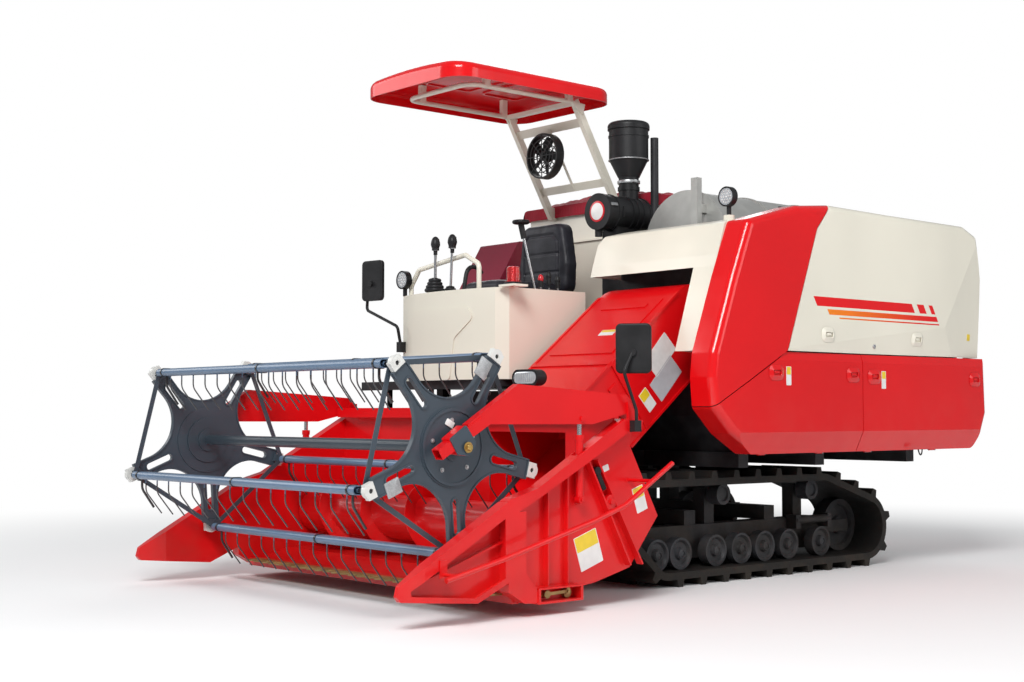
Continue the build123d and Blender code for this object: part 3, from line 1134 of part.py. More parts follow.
def reel_arms():
    """Two lifting arms, each a tapered box with the square slide at its tip."""
    outline = [(-1838, 868), (-1544, 1048), (-855, 1004), (-810, 965), (-812, 925),
               (-826, 921), (-1079, 865), (-1709, 868), (-1800, 816)]
    plate = prism_x(side_face(outline), ARM_X - 20, ARM_X + 20)
    channel = [(-1690, 850), (-1690, 940), (-1540, 1041), (-900, 1000), (-900, 905),
               (-1079, 850)]
    plate -= prism_x(side_face(channel), ARM_X - 16, ARM_X + 16)
    plate -= rod_x(12 + FIT, ARM_X - 30, ARM_X + 30, ARM_PIVOT_Y, ARM_PIVOT_Z)
    plate += rod_x(8, ARM_X - 20, ARM_X + 20, REEL_CYL_Y, REEL_CYL_TOP)
    slide = Pos(ARM_X, -1870, 808) * Rot(30, 0, 0)
    tube = slide * (Box(50, 278, 50) - Pos(0, -50, 0) * Box(42, 200, 42))
    bracket = side_face([(-1945, 806), (-1890, 843), (-1855, 866), (-1798, 790),
                         (-1822, 730), (-1900, 738)], 8)
    hub = prism_x(bracket, ARM_X - 31, ARM_X + 31)
    stub = rod_x(17, SPIDER_X - 25, ARM_X + 31, REEL_Y, REEL_Z)
    bolt = rod_x(15, ARM_X + 30, ARM_X + 40, REEL_Y, REEL_Z)
    hinge_bolt = rod_x(14, ARM_X + 19, ARM_X + 27, REEL_CYL_Y, REEL_CYL_TOP)
    return both_sides(joined([plate, tube, hub, stub, bolt, hinge_bolt]))


def spider_face(inset=0.0):
    """Five-armed reel spider in the side view, with concave webs and long slots."""
    half = SPIDER_ARM - inset
    sine = math.sin(math.pi / REEL_ARMS)
    web = (SPIDER_WEB_R * sine - SPIDER_ARM) / (1 - sine)
    reach = SPIDER_WEB_R + web
    touch = reach * math.cos(math.pi / REEL_ARMS)
    face = Circle(math.hypot(touch, SPIDER_ARM) - 2)
    arm = Pos(SPIDER_ARM_END / 2 - inset, 0) * Rectangle(SPIDER_ARM_END, 2 * half)
    turns = [Rot(0, 0, index * 360 / REEL_ARMS) for index in range(REEL_ARMS)]
    for turn in turns:
        face += turn * arm
    for turn in turns:
        face -= turn * Rot(0, 0, 180 / REEL_ARMS) * Pos(reach, 0) * Circle(web + inset + 0.8)
    slot = Pos(308, 0) * SlotOverall(158 + 2 * inset, 36 + 2 * inset)
    for turn in turns:
        face -= turn * slot
    return face


def tie_strap(index, side):
    """Flat strap from one spider arm's tip to the next, between bar and bearing."""
    a, b = [polar(REEL_START + (index + step) * 360 / REEL_ARMS, REEL_R, REEL_Y, REEL_Z)
            for step in (0, 1)]
    x0, x1 = sorted((side * (SPIDER_X - 38), side * (SPIDER_X - 33)))
    strap = bar_x(a, b, 24, x0, x1)
    for y, z in (a, b):
        strap += rod_x(20, x0, x1, y, z)
    for y, z in (a, b):
        strap -= rod_x(JOURNAL_R + FIT, x0 - 1, x1 + 1, y, z)
    return strap


def reel_spiders():
    """Reel shaft with a ribbed spider near each end and the straps of its tips."""
    place = Pos(REEL_Y, REEL_Z) * Rot(0, 0, REEL_START)
    plate = prism_x(place * spider_face(), SPIDER_X - SPIDER_HALF, SPIDER_X + SPIDER_HALF)
    sunk = place * spider_face(7.0) - Pos(REEL_Y, REEL_Z) * Circle(178)
    for x0 in (SPIDER_X - SPIDER_HALF - 1, SPIDER_X + SPIDER_HALF - 5):
        plate -= prism_x(sunk, x0, x0 + 6)
    hub = rod_x(171, SPIDER_X, SPIDER_X + SPIDER_HALF + 8, REEL_Y, REEL_Z)
    hub -= rod_x(158, SPIDER_X + SPIDER_HALF + 3, SPIDER_X + SPIDER_HALF + 9, REEL_Y, REEL_Z)
    collar = rod_x(62, SPIDER_X - 30, SPIDER_X + 26, REEL_Y, REEL_Z)
    plug = rod_x(122, SPIDER_X - SPIDER_HALF - 8, SPIDER_X, REEL_Y, REEL_Z)
    shaft = rod_x(27, -SPIDER_X, SPIDER_X, REEL_Y, REEL_Z)
    posts = []
    for index in range(REEL_ARMS):
        y, z = polar(REEL_START + index * 360 / REEL_ARMS, REEL_R, REEL_Y, REEL_Z)
        inner = polar(REEL_START + index * 360 / REEL_ARMS, SPIDER_ARM_END - 16, REEL_Y, REEL_Z)
        post = bar_x(inner, (y, z), 40, SPIDER_X - 34, SPIDER_X - SPIDER_HALF + 1)
        posts.append(post - rod_x(JOURNAL_R + FIT, 1000, SPIDER_X, y, z))
    spider = joined([plate, hub, collar, plug, *posts])
    ties = [tie_strap(index, 1) for index in range(REEL_ARMS)]
    whole = joined([shaft, *both_sides(joined([spider, *ties]))])
    for bore in both_sides(rod_x(17 + FIT, SPIDER_X - 40, SPIDER_X + 40, REEL_Y, REEL_Z)):
        whole -= bore
    return whole


def reel_bearings():
    """Bearing block at the tip of every spider arm."""
    blocks = []
    for index in range(REEL_ARMS):
        angle = REEL_START + index * 360 / REEL_ARMS
        y, z = polar(angle, REEL_R, REEL_Y, REEL_Z)
        face = Pos(y, z) * Rot(0, 0, angle) * Rectangle(2 * (REEL_R - SPIDER_ARM_END - SEAT), 70)
        face += Pos(y, z) * Circle(34)
        face -= Pos(REEL_Y, REEL_Z) * Rot(0, 0, angle) * Pos(SPIDER_ARM_END / 2 + SEAT / 2, 0) * \
            Rectangle(SPIDER_ARM_END + SEAT, 90)
        face -= Pos(y, z) * Circle(JOURNAL_R + FIT)
        blocks += both_sides(prism_x(face, SPIDER_X - SPIDER_HALF + 2, SPIDER_X + SPIDER_HALF + 5))
    return blocks


def tine(x, y, z, radius, drop, back):
    """Spring tine: straight down from its bar, then curved and slanted back."""
    knee = drop * 0.42
    bend = 60.0
    points = [(x, y, z - BAR_TALL / 2 + 3), (x, y, z - knee), (x, y + back, z - drop)]
    path = FilletPolyline(*points, radius=bend)
    ring = Plane(origin=path @ 0, z_dir=path % 0) * RegularPolygon(radius, 6)
    return sweep(ring, path=path)


def tine_bar(index):
    """Flat-oval tine bar with bands, tines and the journals in both bearings."""
    y, z = polar(REEL_START + index * 360 / REEL_ARMS, REEL_R, REEL_Y, REEL_Z)
    oval = SlotOverall(BAR_DEEP, BAR_TALL)
    bar = Pos(-BAR_HALF, y, z) * extrude(Plane.YZ * oval, 2 * BAR_HALF)
    bore = extrude(Plane.YZ * SlotOverall(BAR_DEEP - 8, BAR_TALL - 8), 40)
    for x in (-BAR_HALF - 1, BAR_HALF - 39):
        bar -= Pos(x, y, z) * bore
    band = extrude(Plane.YZ * SlotOverall(BAR_DEEP + 6, BAR_TALL + 6), 12)
    parts = [bar, *[Pos(x, y, z) * band for x in (-BAR_HALF + 45, -6, BAR_HALF - 57)]]
    parts += both_sides(rod_x(JOURNAL_R, BAR_HALF - 41, SPIDER_X + SPIDER_HALF - 3, y, z))
    pitch = (2 * BAR_HALF - 190) / (TINES - 1)
    for n in range(TINES):
        x = -BAR_HALF + 95 + n * pitch
        parts.append(tine(x, y, z, TINE_D / 2, TINE_DROP, TINE_BACK))
    for x in (-BAR_HALF + 51, BAR_HALF - 51):
        parts.append(tine(x, y, z, TINE_D * 0.9, TINE_DROP * 0.85, TINE_BACK * 0.75))
    return joined(parts)


# ================================================================ cylinders
def reel_cylinder_barrels():
    """Reel lift cylinders' barrels, standing on a pin in each header side."""
    low, top = REEL_CYL_FOOT, REEL_CYL_FOOT + 300
    barrel = rod_z(REEL_BARREL_R, low, top, ARM_X, REEL_CYL_Y)
    barrel += rod_x(21, SIDE_X + 10 + SEAT, ARM_X + 20, REEL_CYL_Y, low)
    barrel += rod_z(REEL_BARREL_R + 4, top - 26, top, ARM_X, REEL_CYL_Y)
    barrel -= rod_x(10 + FIT, ARM_X - 21, ARM_X + 21, REEL_CYL_Y, low)
    barrel -= rod_z(REEL_ROD_R + FIT, low + 60, top + 1, ARM_X, REEL_CYL_Y)
    return both_sides(barrel)


def reel_cylinder_rods():
    """Reel lift cylinders' rods with the open eye inside each arm."""
    rod_part = rod_z(REEL_ROD_R, REEL_CYL_FOOT + 70, REEL_CYL_TOP, ARM_X, REEL_CYL_Y)
    rod_part += rod_x(24, ARM_X - 12, ARM_X + 12, REEL_CYL_Y, REEL_CYL_TOP)
    rod_part -= rod_x(18, ARM_X - 13, ARM_X + 13, REEL_CYL_Y, REEL_CYL_TOP)
    return both_sides(rod_part)


def along_lift(distance):
    """Point on the lift cylinder's line, measured from its chassis pin."""
    dy, dz = LIFT_EYE_Y - LIFT_ROOT_Y, LIFT_EYE_Z - LIFT_ROOT_Z
    length = math.hypot(dy, dz)
    return (LIFT_X, LIFT_ROOT_Y + dy * distance / length, LIFT_ROOT_Z + dz * distance / length)


def lift_cylinder_barrel():
    """Header lift cylinder's barrel on its chassis pin."""
    barrel = rod(29, along_lift(0), along_lift(560))
    barrel += rod_x(32, LIFT_X - 32, LIFT_X + 32, LIFT_ROOT_Y, LIFT_ROOT_Z)
    barrel -= rod_x(15 + FIT, LIFT_X - 33, LIFT_X + 33, LIFT_ROOT_Y, LIFT_ROOT_Z)
    return barrel - rod(20 + FIT, along_lift(110), along_lift(561))


def lift_cylinder_rod():
    """Header lift cylinder's rod with its open eye under the feeder."""
    length = math.hypot(LIFT_EYE_Y - LIFT_ROOT_Y, LIFT_EYE_Z - LIFT_ROOT_Z)
    rod_part = rod(20, along_lift(140), along_lift(length - 30))
    rod_part += rod_x(40, LIFT_X - 15, LIFT_X + 15, LIFT_EYE_Y, LIFT_EYE_Z)
    return rod_part - rod_x(28, LIFT_X - 30, LIFT_X + 30, LIFT_EYE_Y, LIFT_EYE_Z)


def build():
    os.makedirs("parts", exist_ok=True)
    nodes = {
        "chassis_frame": chassis_frame(),
        "final_drive": final_drive(),
        "track_frames": both_sides(track_frame(TRACK_MID_X)),
        "track_wheels": [s for w in track_wheels(TRACK_MID_X) for s in both_sides(w)],
        "track_left": track(TRACK_MID_X),
        "track_right": track(-TRACK_MID_X),
        "thresher_body": thresher_body(),
        "drum_cover": drum_cover(),
        "side_drives": side_drives(),
        "side_cover_front": side_cover("front", FRONT_CREASES, (), 0),
        "side_cover_upper": side_cover("upper", UPPER_CREASES, UPPER_HINGES, UPPER_HINGE_Z),
        "side_cover_lower_front": side_cover(
            "lower_front", LOWER_CREASES, LOWER_FRONT_HINGES, LOWER_HINGE_Z),
        "side_cover_lower_rear": side_cover(
            "lower_rear", LOWER_CREASES, LOWER_REAR_HINGES, LOWER_HINGE_Z),
        "front_cowl": front_cowl(),
        "rear_hood": rear_hood(),
        "grain_tank": grain_tank(),
        "tank_cover": tank_cover(),
        "right_side_panel": right_side_panel(),
        "engine_block": engine_block(),
        "radiator_housing": radiator_housing(),
        "platform": platform(),
        "console": console(),
        "handrail": handrail(),
        "beacon": beacon(),
        "control_levers": control_levers(),
        "seat_base": seat_base(),
        "seat_cushion": seat_cushion(),
        "seat_back": seat_back(),
        "canopy_roof": canopy_roof(),
        "canopy_frame": canopy_frame(),
        "fan_cage": fan_cage(),
        "fan_rotor": fan_rotor(),
        "air_cleaner": air_cleaner(),
        "exhaust_pipe": exhaust_pipe(),
        "work_lamps": work_lamps(),
        "mirror_right": mirror_right(),
        "unloader_base": unloader_base(),
        "unload_tube": unload_tube(),
        "header_frame": header_frame(),
        "header_fittings": header_fittings(),
        "header_lamp": header_lamp(),
        "divider_noses": both_sides(divider_nose()),
        "divider_rods": both_sides(divider_rod()),
        "knife_guards": knife_guards(),
        "knife_bar": knife_bar(),
        "feeder_house": feeder_house(),
        "auger": auger(),
        "reel_arms": reel_arms(),
        "reel_spiders": reel_spiders(),
        "reel_bearings": reel_bearings(),
        "reel_cylinder_barrels": reel_cylinder_barrels(),
        "reel_cylinder_rods": reel_cylinder_rods(),
        "lift_cylinder_barrel": lift_cylinder_barrel(),
        "lift_cylinder_rod": lift_cylinder_rod(),
    }
    for index in range(REEL_ARMS):
        nodes[f"tine_bar_{index + 1}"] = tine_bar(index)
    for name, shape in nodes.items():
        if isinstance(shape, list):
            solids = [s for item in shape for s in item.solids()]
            shape = Compound(children=solids)
        elif len(shape.solids()) == 1:
            shape = shape.solids()[0]
        else:
            shape = Compound(children=list(shape.solids()))
        export_step(shape, f"parts/{name}.step")


build()
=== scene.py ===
"""Dresses a full-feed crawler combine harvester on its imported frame.

Metres throughout. -Y is the front, +X the machine's left, +Z up.
"""

import json
import math

import bmesh
import bpy
from bpy.props import FloatProperty, FloatVectorProperty, PointerProperty
from bpy.types import Operator, Panel, PropertyGroup
from mathutils import Matrix, Vector


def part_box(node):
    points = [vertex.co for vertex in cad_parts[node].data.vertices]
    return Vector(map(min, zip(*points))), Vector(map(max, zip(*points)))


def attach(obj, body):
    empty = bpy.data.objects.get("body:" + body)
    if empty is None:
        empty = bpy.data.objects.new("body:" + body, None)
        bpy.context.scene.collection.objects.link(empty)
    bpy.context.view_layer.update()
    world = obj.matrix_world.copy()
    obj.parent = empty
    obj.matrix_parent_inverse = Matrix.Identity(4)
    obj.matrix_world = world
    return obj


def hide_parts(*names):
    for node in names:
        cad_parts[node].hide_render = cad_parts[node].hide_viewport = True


bl_info = {
    "name": "Crawler Harvester Dresser",
    "version": (1, 0, 0),
    "blender": (4, 5, 0),
    "location": "3D View > Sidebar > Harvester",
    "description": "Finishes, trim, seat, cover and stage of a crawler combine harvester",
    "category": "Object",
}

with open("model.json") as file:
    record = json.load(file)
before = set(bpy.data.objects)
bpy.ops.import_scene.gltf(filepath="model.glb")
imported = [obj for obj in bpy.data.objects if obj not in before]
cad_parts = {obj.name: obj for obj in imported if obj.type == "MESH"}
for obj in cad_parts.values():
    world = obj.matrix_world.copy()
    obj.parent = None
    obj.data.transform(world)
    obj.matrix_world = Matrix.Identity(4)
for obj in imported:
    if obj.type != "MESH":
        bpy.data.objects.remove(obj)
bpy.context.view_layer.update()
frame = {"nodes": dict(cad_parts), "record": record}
FINISHES = {}
LEFT, FRONT, TOP, RIGHT, REAR = (1, 0, 0), (0, -1, 0), (0, 0, 1), (-1, 0, 0), (0, 1, 0)


# ------------------------------------------------------------------ settings
def colour_property(name, description, default):
    """Colour setting of a paint or plastic."""
    return FloatVectorProperty(
        name=name, description=description, default=default,
        subtype="COLOR", size=3, min=0.0, max=1.0)


class HarvesterPaint(PropertyGroup):
    """Colours of the machine's paints and plastics."""

    red: colour_property("Red", "Body and header red", (0.76, 0.003, 0.006))
    cream: colour_property("Cream", "Panels and posts", (0.86, 0.82, 0.70))
    slate: colour_property("Slate", "Reel spiders", (0.050, 0.068, 0.088))
    blue: colour_property("Bar blue", "Reel bars", (0.115, 0.185, 0.29))
    # the intake box is red; this darker red is painted shade, since the box stands in shade
    maroon: colour_property("Maroon", "Air intake box", (0.22, 0.008, 0.03))
    black: colour_property("Black", "Chassis black", (0.012, 0.012, 0.014))
    amber: colour_property("Amber", "Second stripe colour", (0.90, 0.24, 0.01))
    dust: colour_property("Dust", "Dry soil on the tracks", (0.055, 0.042, 0.030))


class HarvesterStage(PropertyGroup):
    """Camera, floor and lamps."""

    lens: FloatProperty(
        name="Lens", description="Focal length on a 36 mm sensor", default=52.0,
        min=10.0, max=300.0, subtype="DISTANCE_CAMERA", unit="CAMERA")
    floor_size: FloatProperty(
        name="Floor", description="Side of the square floor", default=90.0,
        min=10.0, unit="LENGTH")
    key_watts: FloatProperty(
        name="Key lamp", description="Power of the key lamp", default=1050.0, min=0.0)
    fill_watts: FloatProperty(
        name="Fill lamp", description="Power of the fill lamp", default=180.0, min=0.0)


# ------------------------------------------------------------------ places of the finishes
REEL_AXIS = Vector((0.0, -1.850, 0.769))
BAR_CIRCLE = 0.475          # radius of the tine bars' centres about the reel's axis
BAR_START = -13.9           # angle of the first bar, in degrees
BAR_STEP = 72.0
BAR_SKIN = 0.0402           # beyond this radius a bar has only tines
BAR_BANDS = (0.9603, 0.9737)    # end bands, by distance from the middle
BAR_CENTRE = 0.0063         # half width of the middle band
BAR_JOURNAL = 1.0183        # the bars' journals begin here
TRACK_MIDDLE = 0.59         # middle of each track from the machine's centre
# ahead of the bare sheet the body is black: partly real black paint, partly painted shade under
# the covers
REAR_SHEET = 0.60           # the body's bare sheet begins here
HUB_BRACKET = (1.19, -1.79)     # the reel arms' slate ends lie outside and ahead of this
STRIPES_OUT = 1.15          # the stripes stay on the cover's outer face
STRIPE_LEAN = 0.62          # how far the stripes' ends lean back for each metre up
STRIPE_FOOT = 1.5           # height about which they lean
# lowest, highest, front and rear end of the red bands, then of the shaded ones
RED_STRIPES = [(1.500, 1.552, 0.60, 1.52), (1.500, 1.552, 1.57, 1.64),
               (1.500, 1.552, 1.69, 1.73)]
SHADED_STRIPES = [(1.456, 1.486, 0.68, 1.73), (1.436, 1.444, 0.76, 1.73)]
LEVER_SPLIT = -0.15         # the long levers stand to the right of this
LONG_KNOBS, LONG_BOOTS = 1.842, (1.5, 1.618)
SHORT_KNOBS, SHORT_FEET = 1.628, 1.41


# ------------------------------------------------------------------ shaders
class Wire:
    """A shader socket that takes part in ordinary arithmetic."""

    def __init__(self, finish, socket):
        self.finish = finish
        self.socket = socket

    def __add__(self, other):
        return self.finish.maths("ADD", self, other)

    __radd__ = __add__

    def __mul__(self, other):
        return self.finish.maths("MULTIPLY", self, other)

    __rmul__ = __mul__

    def __sub__(self, other):
        return self.finish.maths("SUBTRACT", self, other)

    def __rsub__(self, other):
        return self.finish.maths("SUBTRACT", other, self)

    def __gt__(self, other):
        return self.finish.maths("GREATER_THAN", self, other)

    def __lt__(self, other):
        return self.finish.maths("LESS_THAN", self, other)

    def __abs__(self):
        return self.finish.maths("ABSOLUTE", self)

    def rise(self, low, high):
        """0 below low, 1 above high and smooth between them."""
        return self.finish.node(
            "ShaderNodeMapRange", {"interpolation_type": "SMOOTHSTEP"},
            {"Value": self, "From Min": low, "From Max": high})


class Finish:
    """A material with the nodes of its colour, gloss and relief."""

    def __init__(self, name, colour, roughness, metallic=0.0, coat=0.0, specular=0.5):
        self.material = bpy.data.materials.new(name)
        self.material.use_nodes = True
        self.tree = self.material.node_tree
        self.shader = self.tree.nodes["Principled BSDF"]
        self.set("Base Color", colour)
        self.set("Roughness", roughness)
        self.set("Metallic", metallic)
        self.set("Coat Weight", coat)
        self.set("Coat Roughness", 0.06)
        self.set("Specular IOR Level", specular)
        FINISHES[name] = self.material

    def set(self, socket, value):
        """Gives one of the surface's sockets a value or a wire."""
        self.join(self.shader.inputs[socket], value)

    def join(self, socket, value):
        if isinstance(value, Wire):
            self.tree.links.new(value.socket, socket)
        elif hasattr(value, "__len__") and len(value) == 3 and socket.type == "RGBA":
            socket.default_value = (*value, 1.0)
        else:
            socket.default_value = value

    def node(self, kind, settings=None, values=None, out=0):
        """Adds a node, sets its options, then its sockets' values or wires."""
        item = self.tree.nodes.new(kind)
        for key, value in (settings or {}).items():
            if key == "stops":
                ramp = item.color_ramp.elements
                while len(ramp) < len(value):
                    ramp.new(0.5)
                for stop, (place, shade) in zip(ramp, value):
                    stop.position = place
                    stop.color = (*shade, 1.0)
            else:
                setattr(item, key, value)
        pairs = values.items() if isinstance(values, dict) else enumerate(values or [])
        for key, value in pairs:
            self.join(item.inputs[key], value)
        return Wire(self, item.outputs[out])

    def maths(self, operation, *values):
        """Arithmetic on wires and plain numbers."""
        return self.node("ShaderNodeMath", {"operation": operation}, values)

    def place(self):
        """Object coordinates, which are the machine's own metres."""
        return self.node("ShaderNodeTexCoord", out="Object")

    def axes(self):
        """X, Y and Z of the place."""
        split = self.node("ShaderNodeSeparateXYZ", values=[self.place()])
        outputs = split.socket.node.outputs
        return [Wire(self, outputs[index]) for index in range(3)]

    def noise(self, scale, detail=3.0, stretch=None):
        """Smooth noise about 0.5, stretched along the axes if wanted."""
        place = self.place()
        if stretch:
            place = self.node("ShaderNodeMapping", values={"Vector": place, "Scale": stretch})
        return self.node("ShaderNodeTexNoise", values={
            "Vector": place, "Scale": scale, "Detail": detail})

    def blend(self, factor, first, second):
        """Mixes two colours."""
        mix = self.node("ShaderNodeMix", {"data_type": "RGBA"}, {"Factor": factor})
        item = mix.socket.node
        self.join(item.inputs["A_Color" if "A_Color" in item.inputs else 6], first)
        self.join(item.inputs[7], second)
        return Wire(self, item.outputs[2])

    def mottled(self, scale, detail, first, second, high=0.7):
        """Two colours in soft clouds."""
        return self.blend(self.noise(scale, detail).rise(0.3, high), first, second)

    def relief(self, height, strength, distance=0.002):
        """Raises the surface by a height."""
        bump = self.node("ShaderNodeBump", values={
            "Strength": strength, "Distance": distance, "Height": height})
        self.set("Normal", bump)

    def colour(self):
        """The colour that the surface has so far."""
        return Wire(self, self.shader.inputs["Base Color"].links[0].from_socket)

    def dusty(self, colour, dust, low, high, most, roughness):
        """Dust that thickens toward the ground, broken up by noise."""
        _, _, z = self.axes()
        cloud = self.noise(7.0, 5.0).rise(0.35, 0.7)
        mask = (1 - z.rise(low, high)) * (cloud * 0.75 + 0.25) * most
        self.set("Base Color", self.blend(mask, colour, dust))
        self.set("Roughness", mask * 0.5 + roughness)
        return mask


def toned(colour, share, lift=0.0):
    """Colour made darker or paler."""
    return tuple(min(1.0, value * share + lift) for value in colour)


def paint(name, colour, roughness=0.32, coat=0.25, dust=(0.2, 0.14, 0.09), most=0.10):
    """Sprayed enamel: slight orange peel, uneven depth, dust low down."""
    finish = Finish(name, colour, roughness, coat=coat, specular=0.35)
    base = finish.mottled(1.7, 2.0, toned(colour, 0.86), colour)
    smear = finish.noise(24.0, 4.0)
    finish.dusty(base, dust, 0.10, 0.60, most, smear * 0.08 + (roughness - 0.04))
    finish.relief(finish.noise(60.0, 2.0) * 0.06 + finish.noise(5.0, 2.0), 0.06, 0.004)
    return finish


def moulded(name, colour, roughness=0.2):
    """Glossy moulded plastic with the long ripples of a large panel."""
    finish = Finish(name, colour, roughness, coat=0.35, specular=0.35)
    base = finish.mottled(0.9, 2.0, toned(colour, 0.9), colour)
    finish.dusty(base, (0.4, 0.33, 0.25), 0.7, 1.25, 0.03,
                 finish.noise(30.0, 3.0) * 0.08 + (roughness - 0.04))
    finish.relief(finish.noise(2.6, 2.0) + finish.noise(300.0, 1.0) * 0.004, 0.35, 0.02)
    return finish


def dull_metal(name, colour, roughness=0.5, metallic=0.0, grain=90.0, dust=None, most=0.6,
               low=0.05, high=0.9, vary=1.7):
    """Bare, cast or black-painted metal with grain and dry dust."""
    finish = Finish(name, colour, roughness, metallic=metallic, coat=0.0, specular=0.3)
    base = finish.mottled(11.0, 5.0, colour, toned(colour, vary, 0.008), 0.72)
    finish.dusty(base, dust or (0.12, 0.085, 0.055), low, high, most,
                 finish.noise(40.0, 4.0) * 0.2 + (roughness - 0.1))
    finish.relief(finish.noise(grain, 4.0), 0.25, 0.003)
    return finish


def body_panel(name, front, rear, dust):
    """Threshing body: black toward the operator's place, partly black paint and partly painted
    shade under the covers; bare sheet toward the rear.
    """
    # the black front colour is partly black paint and partly painted shade cast by the covers
    finish = dull_metal(name, front, 0.48, dust=dust, most=0.2)
    _, y, _ = finish.axes()
    bare = finish.mottled(6.0, 4.0, toned(rear, 0.85), rear)
    finish.set("Base Color", finish.blend(y > REAR_SHEET, finish.colour(), bare))
    return finish


def rubber_track(name, colour, dust):
    """Track rubber with a film of dry soil on its outer edges and lugs."""
    finish = Finish(name, colour, 0.75, specular=0.25)
    x, y, z = finish.axes()
    edge = (abs(abs(x) - TRACK_MIDDLE)).rise(0.17, 0.25)
    cloud = finish.noise(9.0, 6.0).rise(0.34, 0.68)
    low = 1 - z.rise(0.0, 0.16)
    mask = (edge * 0.25 + low * 0.30 + 0.06) * (cloud * 0.7 + 0.3)
    finish.set("Base Color", finish.blend(mask, colour, dust))
    finish.set("Roughness", mask * 0.25 + 0.62)
    finish.relief(finish.noise(60.0, 6.0) + finish.noise(9.0, 3.0) * 1.5, 0.5, 0.004)
    return finish


def grained_plastic(name, colour, roughness=0.42, scale=420.0):
    """Black plastic with a fine moulded grain."""
    finish = Finish(name, colour, roughness, specular=0.25)
    cells = finish.node("ShaderNodeTexVoronoi", values={
        "Vector": finish.place(), "Scale": scale})
    finish.set("Roughness", finish.noise(18.0, 4.0) * 0.16 + (roughness - 0.08))
    finish.set("Base Color", finish.mottled(6.0, 4.0, colour, toned(colour, 1.5, 0.006)))
    finish.relief(cells, 0.15, 0.0008)
    return finish


def polished(name, colour, roughness=0.14):
    """Plated or ground steel with fine turning marks."""
    finish = Finish(name, colour, roughness, metallic=1.0)
    finish.set("Roughness", finish.noise(160.0, 3.0, (1, 1, 0.06)) * 0.14 + roughness)
    finish.relief(finish.noise(500.0, 2.0), 0.05, 0.0005)
    return finish


def hide(name, colour):
    """Black vinyl: pebbled grain with soft creases."""
    finish = Finish(name, colour, 0.38, specular=0.3)
    pebble = finish.node("ShaderNodeTexVoronoi", {"feature": "SMOOTH_F1"}, {
        "Vector": finish.place(), "Scale": 260.0, "Smoothness": 0.6})
    finish.set("Roughness", finish.noise(25.0, 4.0) * 0.2 + 0.3)
    finish.set("Base Color", finish.mottled(10.0, 4.0, colour, toned(colour, 1.8, 0.004)))
    finish.relief(pebble + finish.noise(30.0, 5.0) * 0.8, 0.3, 0.0015)
    return finish


def coated_cloth(name, colour):
    """Red coated canvas with its weave and faded folds."""
    finish = Finish(name, colour, 0.62, specular=0.3)
    x, y, _ = finish.axes()
    weave = finish.maths("SINE", x * 1800.0) * finish.maths("SINE", y * 1800.0)
    finish.set("Base Color", finish.mottled(5.0, 5.0, toned(colour, 0.7), colour))
    finish.relief(weave * 0.3 + finish.noise(20.0, 4.0), 0.4, 0.003)
    return finish


NODE_FINISH = {
    "chassis_black": ["chassis_frame", "track_frames", "platform", "seat_base",
                      "exhaust_pipe", "lift_cylinder_barrel"],
    "cast_black": ["final_drive", "track_wheels", "engine_block", "side_drives"],
    "track_rubber": ["track_left", "track_right"],
    "grey_panel": ["drum_cover"],
    # the thresher body's black front is partly black paint and partly painted shade under the
    # covers
    "body_panel": ["thresher_body"],
    "cover_red": ["side_cover_front", "side_cover_lower_front", "side_cover_lower_rear",
                  "canopy_roof"],
    "cover_cream": ["console"],
    "striped_cream": ["side_cover_upper"],
    "body_red": ["rear_hood", "unloader_base", "unload_tube", "header_frame",
                 "divider_noses", "divider_rods", "feeder_house", "auger",
                 "reel_cylinder_barrels"],
    "arm_red": ["reel_arms"],
    "body_cream": ["front_cowl", "grain_tank", "right_side_panel", "handrail",
                   "canopy_frame"],
    # radiator housing in painted shade: its red cover is painted darker
    "maroon_paint": ["radiator_housing"],
    "reel_slate": ["reel_spiders"],
    **{f"bar_blue_{index}": [f"tine_bar_{index}"] for index in range(1, 6)},
    "knife_brass": ["knife_guards", "knife_bar"],
    "chrome": ["reel_cylinder_rods", "lift_cylinder_rod"],
    "levers": ["control_levers"],
    "bearing_white": ["reel_bearings"],
    "beacon_glass": ["beacon"],
    "black_plastic": ["fan_cage", "fan_rotor", "air_cleaner", "work_lamps",
                      "mirror_right", "header_fittings", "header_lamp"],
    "vinyl": ["seat_cushion", "seat_back"],
    "tarp": ["tank_cover"],
}


def reel_bar_paint(name, colour, index):
    """Blue bar with black end bands and dark spring tines."""
    finish = Finish(name, colour, 0.34, coat=0.3)
    x, y, z = finish.axes()
    angle = math.radians(BAR_START + BAR_STEP * index)
    middle = (REEL_AXIS.y + BAR_CIRCLE * math.cos(angle),
              REEL_AXIS.z + BAR_CIRCLE * math.sin(angle))
    off_y, off_z = y - middle[0], z - middle[1]
    reach = finish.maths("SQRT", off_y * off_y + off_z * off_z)
    wide = abs(x)
    band = (wide > BAR_BANDS[0]) * (wide < BAR_BANDS[1])
    centre = wide < BAR_CENTRE
    journal = wide > BAR_JOURNAL
    wires = reach > BAR_SKIN
    base = finish.mottled(2.4, 3.0, toned(colour, 0.82), colour)
    steel = finish.blend(wires, base, (0.045, 0.045, 0.048))
    whole = finish.maths("MAXIMUM", finish.maths("MAXIMUM", band, centre), journal)
    finish.set("Base Color", finish.blend(whole, steel, (0.012, 0.012, 0.014)))
    finish.set("Roughness", finish.noise(40.0, 3.0) * 0.14 + 0.27)
    finish.relief(finish.noise(180.0, 2.0), 0.08, 0.002)
    return finish


